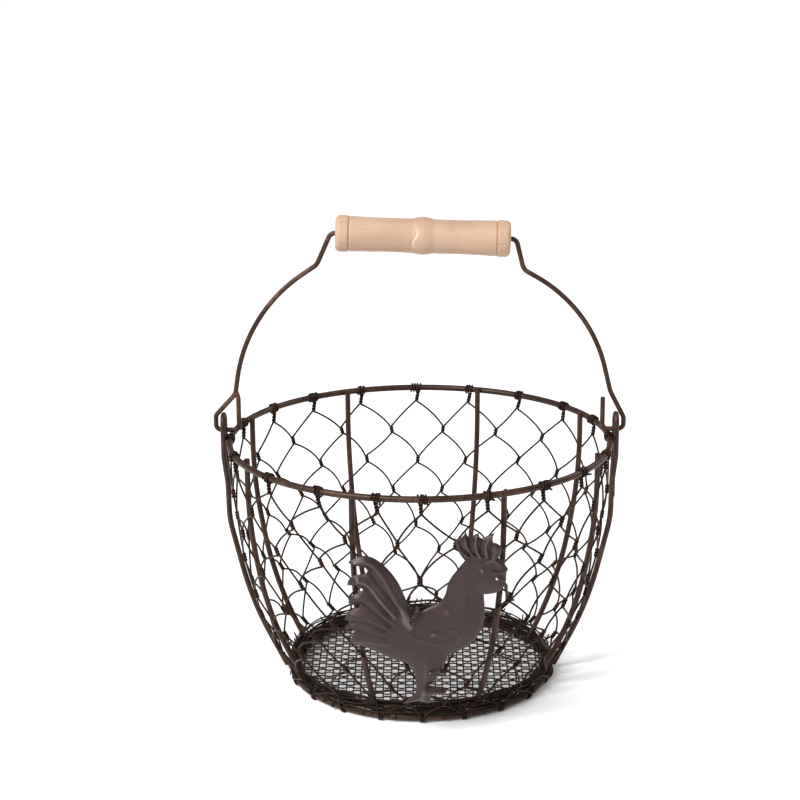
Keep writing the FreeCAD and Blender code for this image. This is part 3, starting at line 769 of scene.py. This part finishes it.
def add_bead(work, centre, size):
    """One lump of weld: a small ball pushed out of round."""
    ball = bmesh.new()
    bmesh.ops.create_icosphere(ball, subdivisions=2, radius=1.0)
    for vertex in ball.verts:
        lump = 1 + 0.28 * noise.noise(vertex.co * 1.4 + Vector(centre))
        vertex.co = Vector(centre) + vertex.co * Vector(size) * lump
    start = work.count
    work.vertices.append(np.array([vertex.co[:] for vertex in ball.verts]))
    work.faces += [tuple(start + vertex.index for vertex in face.verts) for face in ball.faces]
    work.count += len(ball.verts)
    ball.free()


def weld_place(name, top, out, height):
    """The middle of a rib's weld, out from the rib's end and at a height."""
    end = wire_end(name, top)
    centre = end + end / math.hypot(end[0], end[1]) * out
    centre[2] = height
    return centre


def make_weld_beads(material):
    """Weld at every rib and ear, on both rings."""
    work = Wirework()
    ribs = [name for name in frame["nodes"] if name.startswith("rib_")]
    for name in sorted(ribs):
        add_bead(work, weld_place(name, True, 1.6, RIM.height + 0.4), (1.5, 1.5, 1.3))
        foot = weld_place(name, False, 2.1, BASE.height + rng.uniform(0.2, 0.8))
        add_bead(work, foot, (1.9, 1.9, 1.5))
    for side in (-1, 1):
        for leg in (-1, 1):
            eye_leg = np.array([side * (RIM.radius + 1.7), leg * 4.4, RIM.height - 0.3])
            add_bead(work, eye_leg, (1.5, 1.6, 1.4))
        foot = np.array([side * (BASE.radius + 2.2), 0.0, BASE.height + 0.6])
        add_bead(work, foot, (1.9, 2.4, 1.7))
    work.finish("weld_beads", material, slot="frame_wire")


# --------------------------------------------------------------------------- rooster plaque

PLAQUE_MIDDLE = 70.0       # height of the sheet's middle
GRID = 0.6                 # spacing of the sheet's points
EDGE_GAP = 0.35            # how far they stay from its edge
HOLE_GAP = 0.3             # and from its holes
SHORTEST_STEP = 0.22       # along a loop
RELIEF = 1.5               # how strongly the lines are stamped
THICKNESS = 0.95
FRONT_FACE = -0.9          # a face whose normal's y is below this is the front

# Stamped lines in the sheet's own plane, right and up from its middle: points, height, width
RIDGES = [
    ([(-33, 31.6), (-27, 32.2), (-22.5, 29.5), (-17.8, 22.5), (-12, 10), (-7, 2)], 0.55, 1.5),
    ([(-31, 21.6), (-26, 19.5), (-20.4, 12.2), (-12.8, 2.2)], 0.75, 1.05),
    ([(-33, 12.0), (-26, 9.5), (-18, 2.5), (-13, -2)], 0.4, 1.3),
    ([(-34.5, 2.0), (-27, 1.5), (-19, -3), (-14, -5.5)], 0.35, 1.3),
    ([(-35, -4.5), (-27, -5), (-18, -8)], 0.3, 1.3),
    ([(-33.5, -12), (-25, -12.5), (-16, -13)], 0.3, 1.4),
    ([(-8.5, 3), (-6.2, -0.8), (-5, -3.5)], 0.7, 2.2),
    ([(17.8, 44.5), (19.2, 39.5), (23.5, 35.2)], 0.75, 0.7),
    ([(22.4, 48.6), (22.6, 43), (26.2, 36.6)], 0.75, 0.7),
    ([(28.4, 47), (27.2, 42), (29.6, 36)], 0.75, 0.7),
    ([(35.6, 47), (32.4, 42), (33.2, 36)], 0.75, 0.7),
    ([(38.6, 40.5), (36.6, 38), (36.2, 35)], 0.55, 0.8),
    ([(33, 33.4), (36.6, 33.2), (40, 30.4)], 0.6, 1.3),
    ([(36.6, 27.2), (39.4, 26.6), (42.6, 27.0)], 0.45, 0.9),
    ([(15.4, 22.5), (18.6, 27.6), (23, 31)], 0.35, 1.7),
    ([(11.5, 8.2), (13.6, 4.6), (14.6, 1)], 0.22, 2.2),
    ([(14.6, -4.6), (18.2, -6.4), (19.4, -9.6), (18.2, -13)], 0.38, 1.0),
    ([(-4.5, -8.4), (1, -10.8), (6.5, -7.6), (10.5, -8)], 0.35, 1.1),
    ([(-2.5, -12.4), (4.5, -12.4), (9.5, -13.4)], 0.3, 1.1),
    ([(3.0, -26), (2.4, -36), (1.2, -44)], 0.45, 1.8),
    ([(2.2, -43), (7, -43.6), (11.6, -43.8)], 0.35, 1.1),
    ([(1.6, -45), (-4, -49.4)], 0.3, 1.1),
]
GROOVES = [
    ([(-26.1, 27.0), (-20.5, 20), (-14, 9.5), (-9, 2)], 0.55, 0.8),
    ([(-28.3, 16.4), (-22, 10.5), (-15, 2)], 0.5, 0.8),
    ([(-29.5, 7.8), (-22, 3.5), (-15, -3)], 0.45, 0.8),
    ([(-34.9, -2.2), (-26, -1.8), (-17, -5.8)], 0.4, 0.8),
    ([(-32.6, -6.8), (-25, -8.2), (-16, -10.4)], 0.35, 0.8),
    ([(19.4, 44.4), (20.6, 40), (24.6, 35.8)], 0.5, 0.55),
    ([(25.1, 44.2), (24.8, 40), (27.8, 36)], 0.5, 0.55),
    ([(31.1, 44.6), (29.8, 40), (31.4, 35.8)], 0.5, 0.55),
    ([(35.8, 42.4), (34.6, 39), (34.8, 35.4)], 0.45, 0.55),
    ([(21.8, 33.4), (28.5, 33.6), (34, 34.4)], 0.3, 0.6),
    ([(23.5, 14.5), (24.4, 11), (23.8, 7)], 0.22, 0.9),
    ([(27.2, 12.5), (27.8, 9.5), (27.2, 6)], 0.18, 0.9),
]
BUMPS = [((30.6, 28.8), 0.8, 1.1), ((26.2, 28.0), 0.25, 1.0), ((6.5, -7.2), 0.35, 1.6),
         ((-7.0, -0.8), 0.35, 2.4), ((13.2, 4.6), 0.3, 2.0)]


def plaque_frame():
    """The plane of the plaque's front face: a point on it, right, up and outward."""
    points = node_points("rooster_plaque")
    mesh = frame["nodes"]["rooster_plaque"].data
    outward = np.zeros(3)
    for face in mesh.polygons:
        if face.normal.y < FRONT_FACE:
            outward += np.array(face.normal) * face.area
    outward /= np.linalg.norm(outward)
    right = np.array([1.0, 0, 0])
    up = np.cross(outward, right)
    depth = (points @ outward).max()
    middle = np.array([0, 0, PLAQUE_MIDDLE])
    middle[1] = (depth - middle[2] * outward[2]) / outward[1]
    return SimpleNamespace(middle=middle, right=right, up=up, outward=outward)


def plaque_loops(plane):
    """The sheet's edge and holes as loops in its own plane, read from its front face."""
    mesh = frame["nodes"]["rooster_plaque"].data
    points = node_points("rooster_plaque") - plane.middle
    flat = np.round(np.stack([points @ plane.right, points @ plane.up], axis=1), 4)
    shared = {}
    for face in mesh.polygons:
        if face.normal.y < FRONT_FACE:
            corners = [tuple(flat[index]) for index in face.vertices]
            for start, end in zip(corners, corners[1:] + corners[:1]):
                shared.setdefault(frozenset((start, end)), []).append((start, end))
    onward = {pairs[0][0]: pairs[0][1] for pairs in shared.values() if len(pairs) == 1}
    loops = []
    while onward:
        start, point = onward.popitem()
        loop = [start]
        while point in onward:
            if math.dist(loop[-1], point) > SHORTEST_STEP:
                loop.append(point)
            point = onward.pop(point)
        loops.append(np.array(loop))
    return sorted(loops, key=len, reverse=True)


def line_distance(points, line):
    """How far points are from a line of points."""
    nearest = np.full(len(points), 1e9)
    for start, end in zip(line, line[1:]):
        run = end - start
        part = np.clip(((points - start) @ run) / (run @ run), 0, 1)
        gap = np.linalg.norm(points - start - part[:, None] * run, axis=1)
        nearest = np.minimum(nearest, gap)
    return nearest


def inside_loop(points, loop):
    """Which points are inside a closed loop."""
    inside = np.zeros(len(points), bool)
    for start, end in zip(loop, np.roll(loop, -1, axis=0)):
        crosses = (start[1] > points[:, 1]) != (end[1] > points[:, 1])
        rise = end[1] - start[1] or 1e-9
        at = start[0] + (points[:, 1] - start[1]) / rise * (end[0] - start[0])
        inside ^= crosses & (points[:, 0] < at)
    return inside


def stamped_height(points, edge):
    """How far the stamping stands out, with masks of its ridges and grooves that also carry the
    painted highlight and painted shade.
    """
    body = 1.3 * (1 - np.exp(-(edge / 1.3) ** 1.3)) + 2.6 * (1 - np.exp(-(edge / 7) ** 2))
    fade = 1 - np.exp(-(edge / 1.1) ** 2)
    raised_and_highlight = np.zeros(len(points))
    sunk_and_shade = np.zeros(len(points))
    for line, height, width in RIDGES:
        gap = line_distance(points, smooth_line(line, 6))
        raised_and_highlight += RELIEF * height * np.exp(-(gap / width) ** 2) * fade
    for (centre_u, centre_v), height, width in BUMPS:
        gap = np.hypot(points[:, 0] - centre_u, points[:, 1] - centre_v)
        raised_and_highlight += RELIEF * height * np.exp(-(gap / width) ** 2) * fade
    for line, depth, width in GROOVES:
        gap = line_distance(points, smooth_line(line, 6))
        sunk_and_shade += RELIEF * depth * np.exp(-(gap / width) ** 2)
    return body + raised_and_highlight - sunk_and_shade * fade - 0.75, raised_and_highlight, sunk_and_shade


def on_sheet(points, loops):
    """Which points are within the sheet's edge and outside its holes."""
    inside = inside_loop(points, loops[0])
    for hole in loops[1:]:
        inside &= ~inside_loop(points, hole)
    return inside


def loop_distance(points, loop):
    """How far points are from a closed loop."""
    return line_distance(points, np.vstack([loop, loop[:1]]))


def sheet_points(loops):
    """The points of the sheet's edge and holes, and an even grid between them."""
    low, high = loops[0].min(axis=0), loops[0].max(axis=0)
    rows = []
    for index, v in enumerate(np.arange(low[1], high[1], GRID * 0.87)):
        u = np.arange(low[0], high[0], GRID) + (index % 2) * GRID / 2
        rows.append(np.stack([u, np.full(len(u), v)], axis=1))
    grid = np.vstack(rows)
    keep = on_sheet(grid, loops)
    for index, loop in enumerate(loops):
        keep &= loop_distance(grid, loop) > (HOLE_GAP if index else EDGE_GAP)
    return np.vstack([*loops, grid[keep]])


def turned_out(flat, face):
    """Whether a triangle runs anticlockwise in the sheet's plane."""
    first, second, third = flat[list(face)]
    one, two = second - first, third - first
    return one[0] * two[1] - one[1] * two[0] > 0


def sheet_triangles(loops):
    """The sheet's points in its own plane, and the triangles between them."""
    edges = []
    for loop in loops:
        start, count = len(edges), len(loop)
        edges += [(start + index, start + (index + 1) % count) for index in range(count)]
    points = [Vector(point) for point in sheet_points(loops)]
    flat, _, triangles, *_ = delaunay_2d_cdt(points, edges, [], 1, 1e-5)
    flat = np.array([point[:] for point in flat])
    middles = np.array([flat[list(face)].mean(axis=0) for face in triangles])
    triangles = [tuple(face) for face, kept in zip(triangles, on_sheet(middles, loops)) if kept]
    return flat, [face if turned_out(flat, face) else face[::-1] for face in triangles]


def make_plaque(material):
    """The stamped rooster: rounded edges, feathers, comb, brow, wing and leg."""
    plane = plaque_frame()
    loops = plaque_loops(plane)
    flat, faces = sheet_triangles(loops)
    edge = loop_distance(flat, loops[0])
    height, raised_and_highlight, sunk_and_shade = stamped_height(flat, edge)

    sheet = plane.middle + flat[:, :1] * plane.right + flat[:, 1:] * plane.up
    front = sheet + height[:, None] * plane.outward
    thin = 0.35 * (1 - np.exp(-(edge / 1.0) ** 2))
    back = sheet + (height - THICKNESS + thin)[:, None].clip(-1.15) * plane.outward

    sides = dict.fromkeys(pair for face in faces for pair in zip(face, face[1:] + face[:1]))
    border = [(start, end) for start, end in sides if (end, start) not in sides]
    count = len(flat)
    faces += [tuple(index + count for index in reversed(face)) for face in faces[:]]
    faces += [(end, start, start + count, end + count) for start, end in border]
    piece = mesh_piece("rooster_stamping", np.vstack([front, back]), faces, material)
    # the ridge and groove masks carry the painted highlight and the painted shade
    add_mask(piece, "raised_and_highlight", np.concatenate([raised_and_highlight, raised_and_highlight]))
    add_mask(piece, "sunk_and_shade", np.concatenate([sunk_and_shade, sunk_and_shade]))
    piece.data.set_sharp_from_angle(angle=math.radians(60))
    place_piece(piece, "basket", "plaque_sheet", "rooster_plaque")
    return plane


# --------------------------------------------------------------------------- tie wires

def sheet_point(plane, right, up, outward):
    """A point near the plaque, in its own directions."""
    return plane.middle + right * plane.right + up * plane.up + outward * plane.outward


def make_head_tie(plane, material):
    """A doubled wire from the hole in the rooster's head to the nearest netting twist."""
    twist = twist_of(3, 1)
    knot = WALL.place(twist.degrees, twist.down, 0.0)
    outward = np.array([knot[0], knot[1], 0]) / math.hypot(knot[0], knot[1])
    work = Wirework()
    for lane in (-1, 1):
        gap = np.array([0, 0, 0.62 * lane])
        points = [sheet_point(plane, 35.2, 23.6, -2.6) + gap,
                  sheet_point(plane, 37.4, 24.6, -1.6) + gap * 0.6,
                  sheet_point(plane, 38.5, 23.9, 0.2) + gap * 0.5,
                  sheet_point(plane, 39.8, 22.4, 1.7) + gap,
                  sheet_point(plane, 43.0, 19.4, 1.9) + gap * 1.2,
                  knot + outward * 1.6 + (-2.2, -0.6, 2.2) + gap,
                  knot + outward * 1.5 + (0.4, 0, 0.2 + 0.8 * lane),
                  knot + outward * 0.4 + (1.9, 0.4, -0.6 + 0.9 * lane),
                  knot - outward * 1.3 + (1.2, 0.4, -1.2 + 0.9 * lane),
                  knot - outward * 1.6 + (-0.6, 0, 0.4 + 0.9 * lane)]
        work.add(smooth_line(points), TIE_WIRE)
    work.finish("tie_head_wire", material, "tie_head")


def loop_path(plane, centre_u, centre_v, toward, reach, turns, start):
    """Loose turns of wire that pass through a hole and over the sheet's edge."""
    angle = math.radians(toward)
    side_u, side_v = -math.sin(angle), math.cos(angle)
    count = int(24 * turns)
    path = []
    for step in range(count + 1):
        part = step / count
        turn = math.radians(start) + part * turns * TAU
        along = reach * (1 + 0.14 * math.sin(3 * turn)) * math.cos(turn)
        away = (reach * 0.72) * math.sin(turn)
        aside = 1.5 * (part - 0.5)
        path.append(sheet_point(plane, centre_u + along * math.cos(angle) + aside * side_u,
                                centre_v + along * math.sin(angle) + aside * side_v,
                                away - 0.3))
    return path


def make_edge_ties(plane, material):
    """Tie wires at the dip in the back and on the leg, each by its hole, aim and turns."""
    for name, hole, toward, reach, turns, node in (
            ("tie_back_wire", (-4.6, -1.0), 62, 3.9, 1.8, "tie_back"),
            ("tie_leg_wire", (4.6, -30.5), -15, 4.1, 1.6, "tie_leg")):
        angle = math.radians(toward)
        centre_u = hole[0] + reach * math.cos(angle)
        centre_v = hole[1] + reach * math.sin(angle)
        work = Wirework()
        work.add(loop_path(plane, centre_u, centre_v, toward, reach, turns, 190), TIE_WIRE)
        work.finish(name, material, node)


# --------------------------------------------------------------------------- bail

HOOKS_BEYOND = 92          # the hooks are further than this from the middle
HOOK_HEIGHT = 17.5         # and their cut ends less than this above the hinge
TAIL_WIDTH = 2.7           # a little more than the wire's thickness
TIP_LAP = 1.2              # how far a tip starts inside the packed wire
TIP_FIT = 0.99             # its thickness there, as a share of the wire's
LEFT_LEAN = ((-0.05, 0, 0.6), (-0.45, 0, 2.3), (-1.0, 0, 4.2))


def hook_tail(side):
    """The middle of a hook's cut end, and the bail wire's thickness."""
    points = node_points("bail_wire")
    hinge = joint("bail_swing")["pos_m"][2] / MM
    near = points[(points[:, 0] * side > HOOKS_BEYOND) & (points[:, 2] < hinge + HOOK_HEIGHT)]
    inner = near[near[:, 0] * side < (near[:, 0] * side).min() + TAIL_WIDTH]
    top = inner[inner[:, 2] > inner[:, 2].max() - 0.3]
    return top.mean(axis=0), np.ptp(points[:, 1])


def make_hook_tips(material):
    """The hooks' ends: rounded on the right, bent over to touch the bail on the left."""
    work = Wirework(sides=14)
    end, wire = hook_tail(1)
    work.add([end - (0, 0, TIP_LAP), end, end + (0, 0, 0.35)], wire * TIP_FIT)
    end, wire = hook_tail(-1)
    lean = [end - (0, 0, TIP_LAP)] + [end + step for step in LEFT_LEAN]
    work.add(smooth_line(lean, 4), wire * TIP_FIT)
    work.finish("hook_tips", material, body="bail", slot="bail_wire")


# --------------------------------------------------------------------------- grip

GRIP_SIDES = 168
GROOVE_IN = 7              # from each end to the groove behind its bead
END_ROUND = 2.6            # rounding of the ends
BORE_DEPTH = 6             # how far in the bore is made
FINE_FROM = 8.5            # from here to the ends the rings are closer together
WAIST_DEPTH = 0.75         # how much thinner the waists are than the beads


def grip_radius(along, half, radii):
    """Radius of the turned grip at a distance from its middle."""
    out = abs(along)
    bead, waist, knuckle = radii
    radius = waist + (bead - 0.2 - waist) * (out / (half - GROOVE_IN)) ** 3
    radius = np.where(out > half - GROOVE_IN, bead, radius)
    radius += (knuckle - waist) * np.exp(-(along / 5.2) ** 2)
    radius -= 0.2 * np.exp(-((out - 5.6) / 1.2) ** 2)
    radius += 0.05 * np.cos(along * 3.1) * np.exp(-(along / 4.5) ** 2)
    radius -= 0.55 * np.exp(-((out - (half - GROOVE_IN)) / 0.42) ** 2)
    corner = np.clip(out - (half - END_ROUND), 0, None)
    return radius - END_ROUND * (1 - np.sqrt(np.clip(1 - (corner / 2.65) ** 2, 0, 1)))


def grip_profile(half, bore, bead, knuckle):
    """The grip's rings, as distance from its middle and radius, with the bore at each end."""
    rounded = half - END_ROUND * (1 - np.sin(np.linspace(0, math.pi / 2, 8)))
    fine = np.concatenate([np.arange(0, half - FINE_FROM, 0.6),
                           np.arange(half - FINE_FROM, half - END_ROUND, 0.22), rounded])
    stations = np.concatenate([-fine[:0:-1], fine])
    radii = grip_radius(stations, half, (bead, bead - WAIST_DEPTH, knuckle))
    return [(-half + BORE_DEPTH, bore), (-half, bore), *zip(stations, radii),
            (half, bore), (half - BORE_DEPTH, bore)]


def wood_lump(along, turn):
    """How far the wood is out of round, in broad and in fine waves."""
    over, aside = math.cos(turn), math.sin(turn)
    broad = noise.noise(Vector((along / 16, over, aside)) * 1.7)
    fine = noise.noise(Vector((along / 3, 3 * over, 3 * aside)))
    return 0.16 * broad + 0.05 * fine


def make_grip(material_for):
    """The wooden grip, turned by hand, with a node scar, nicked ends and a bore."""
    spin = joint("grip_spin")
    centre = np.array(spin["pos_m"]) / MM
    axis = np.array(spin["axis"])
    up = np.array([-axis[2], 0, axis[0]])
    front = np.cross(axis, up)
    points = node_points("grip") - centre
    half = abs(points @ axis).max()
    away = np.linalg.norm(points - np.outer(points @ axis, axis), axis=1)
    bore = away.min()
    bead = away[abs(points @ axis) > half - BORE_DEPTH].max()
    profile = grip_profile(half, bore, bead, away.max())
    vertices, scar, recess_shade = [], [], []
    for along, radius in profile:
        outer = radius > bore + 0.5
        for side in range(GRIP_SIDES):
            turn = side / GRIP_SIDES * TAU
            lump = wood_lump(along, turn) if outer else 0.0
            crack = scar_depth(along, turn)
            nick = nick_depth(along, turn, half) if outer else 0.0
            reach = radius + lump - 0.35 * crack - 0.28 * nick
            direction = up * math.cos(turn) + front * math.sin(turn)
            vertices.append(centre + axis * along + reach * direction)
            scar.append(crack)
            # painted shade in the groove behind each bead and in the nicks, and a fixed amount
            # inside the bore
            painted_shade = math.exp(-((abs(along) - (half - GROOVE_IN)) / 0.4) ** 2) + 0.8 * nick
            recess_shade.append(min(painted_shade, 1.0) if outer else 0.6)
    faces = ring_faces(len(profile), GRIP_SIDES)
    piece = mesh_piece("grip_turned_wood", vertices, faces, material_for(math.asin(axis[2])))
    add_mask(piece, "scar", scar)
    add_mask(piece, "recess_shade", recess_shade)
    piece.data.set_sharp_from_angle(angle=math.radians(50))
    place_piece(piece, "grip", "grip_wood", "grip")


def scar_depth(along, turn):
    """The slanting scar left by a side shoot, on the front of the knuckle."""
    front = turn - math.pi / 2
    slant = along + 4.3 + 1.6 * math.sin(front * 4) - 1.2 * front
    wobble = 0.5 * noise.noise(Vector((front * 9, 0, 3)))
    return math.exp(-((slant + wobble) / 0.6) ** 2) * math.exp(-(front / 0.62) ** 4)


def nick_depth(along, turn, half):
    """Short nicks pressed round both ends, uneven in length."""
    first, last, across = 1.4, 6.4, TAU / 34
    from_end = half - abs(along)
    if not first <= from_end <= last:
        return 0.0
    offset = (turn + 0.07 * math.sin(5 * turn)) % across - across / 2
    reach = 0.5 + 0.5 * math.sin(turn * 11 + (2 if along > 0 else 0))
    return math.exp(-(offset / 0.034) ** 2) * reach * (0.9 if from_end > 2.4 else 0.5)


# --------------------------------------------------------------------------- studio

AIR_LIGHT = 0.38           # how strongly the surroundings light the basket


def make_floor():
    """A wide, pale, plain floor."""
    material, tree, shader = start_material("studio_floor")
    place = shader_node(tree, "ShaderNodeTexCoord").outputs["Object"]
    cloud = noise_node(tree, place, 2.0, 2.0)
    tint = mix_node(tree, cloud, (0.99, 0.99, 0.99, 1), (0.975, 0.975, 0.975, 1))
    tree.links.new(tint, shader.inputs["Base Color"])
    shader.inputs["Roughness"].default_value = 0.9
    shader.inputs["Specular IOR Level"].default_value = 0.1
    reach = 6000.0
    corners = [(-reach, -reach, 0), (reach, -reach, 0), (reach, reach, 0), (-reach, reach, 0)]
    floor = mesh_piece("studio_floor", corners, [(0, 1, 2, 3)], material)


def make_light(name, place, aim, size, power):
    """A soft round lamp turned to its aim."""
    lamp = bpy.data.lights.new(name, "AREA")
    lamp.shape = "DISK"
    lamp.size = size
    lamp.energy = power
    hang_lamp(name, lamp, place, aim)


def hang_lamp(name, lamp, place, aim):
    """Puts a lamp in its place, turned to its aim."""
    holder = bpy.data.objects.new(name, lamp)
    holder.location = place
    direction = Vector(aim) - Vector(place)
    holder.rotation_euler = direction.to_track_quat("-Z", "Y").to_euler()
    bpy.context.scene.collection.objects.link(holder)


def make_air():
    """Pale surroundings, softer on the basket than they look."""
    world = bpy.data.worlds.new("studio_air")
    world.use_nodes = True
    tree = world.node_tree
    backdrop = tree.nodes["Background"]
    backdrop.inputs["Color"].default_value = (1, 1, 1, 1)
    seen = shader_node(tree, "ShaderNodeLightPath").outputs["Is Camera Ray"]
    strength = math_node(tree, "MULTIPLY_ADD", seen, 1.0 - AIR_LIGHT)
    strength.node.inputs[2].default_value = AIR_LIGHT
    tree.links.new(strength, backdrop.inputs["Strength"])
    bpy.context.scene.world = world


def make_studio():
    """Floor, pale surroundings and soft lamps."""
    make_floor()
    make_air()
    aim = (0, 0, 0.1)
    sun = bpy.data.lights.new("sky_lamp", "SUN")
    sun.energy = 2.75
    sun.angle = math.radians(35)
    hang_lamp("sky_lamp", sun, (-0.75, -1.0, 1.5), aim)
    make_light("key_lamp", (-0.9, -0.7, 0.9), aim, 0.35, 9)
    make_light("rim_lamp", (0.9, 0.6, 0.9), aim, 0.6, 4)
    bpy.context.scene.view_settings.view_transform = "Standard"


def make_camera():
    """Looks down on the basket's front from above the rim."""
    distance = 1.0736
    camera = bpy.data.cameras.new("camera")
    camera.sensor_width = 36
    camera.lens = 89.8
    holder = bpy.data.objects.new("camera", camera)
    azimuth, elevation, roll = math.radians(0.58), math.radians(15.97), math.radians(-0.34)
    back = Vector((math.sin(azimuth) * math.cos(elevation),
                   -math.cos(azimuth) * math.cos(elevation), math.sin(elevation)))
    aim = Vector((-10.5, 0, 155.8)) * MM
    holder.location = aim + back * distance
    holder.rotation_mode = "QUATERNION"
    roll_turn = Quaternion((0, 0, 1), roll)
    holder.rotation_quaternion = (-back).to_track_quat("-Z", "Y") @ roll_turn
    bpy.context.scene.collection.objects.link(holder)
    bpy.context.scene.camera = holder
    camera.clip_start = 0.05
    camera.clip_end = 50


# --------------------------------------------------------------------------- the basket

def paint_frame():
    """Better materials for the wires that stay as packed: the frame's and the bail's."""
    frame_paint = painted_wire("frame_wire_paint", (0.024, 0.011, 0.008, 1),
                               (0.090, 0.040, 0.026, 1), rubbing=0.7, scale=55.0)
    bail_paint = painted_wire("bail_wire_paint", (0.028, 0.014, 0.009, 1),
                              (0.120, 0.055, 0.032, 1), rubbing=0.9, scale=48.0)
    nodes = frame["nodes"]
    for name in nodes:
        if name.endswith("_ring") or name.startswith(("rib_", "ear_")):
            nodes[name].material_slots[0].material = frame_paint
    nodes["bail_wire"].material_slots[0].material = bail_paint
    return frame_paint, bail_paint


def make_basket():
    """Every piece of the basket, with the paint or wood that it is finished in."""
    frame_paint, bail_paint = paint_frame()
    make_hook_tips(bail_paint)
    fine = {"bump": 0.3, "depth": 0.12}
    net_paint = painted_wire("netting_paint", (0.013, 0.006, 0.003, 1),
                             (0.050, 0.021, 0.012, 1), 0.5, 70.0, shine=0.2, **fine)
    cloth_paint = painted_wire("cloth_paint", (0.015, 0.009, 0.006, 1),
                               (0.055, 0.030, 0.021, 1), 0.6, 80.0, shine=0.2, **fine)
    tie_paint = painted_wire("tie_paint", (0.034, 0.024, 0.020, 1),
                             (0.12, 0.085, 0.07, 1), 0.8, 90.0, **fine)
    make_netting(net_paint)
    make_rim_coils(net_paint)
    make_base_coils(net_paint)
    make_foot_lashing(net_paint)
    make_floor_cloth(cloth_paint)
    make_weld_beads(frame_paint)
    plane = make_plaque(rooster_paint())
    make_head_tie(plane, tie_paint)
    make_edge_ties(plane, tie_paint)
    make_grip(grip_wood)


make_basket()
make_studio()
make_camera()
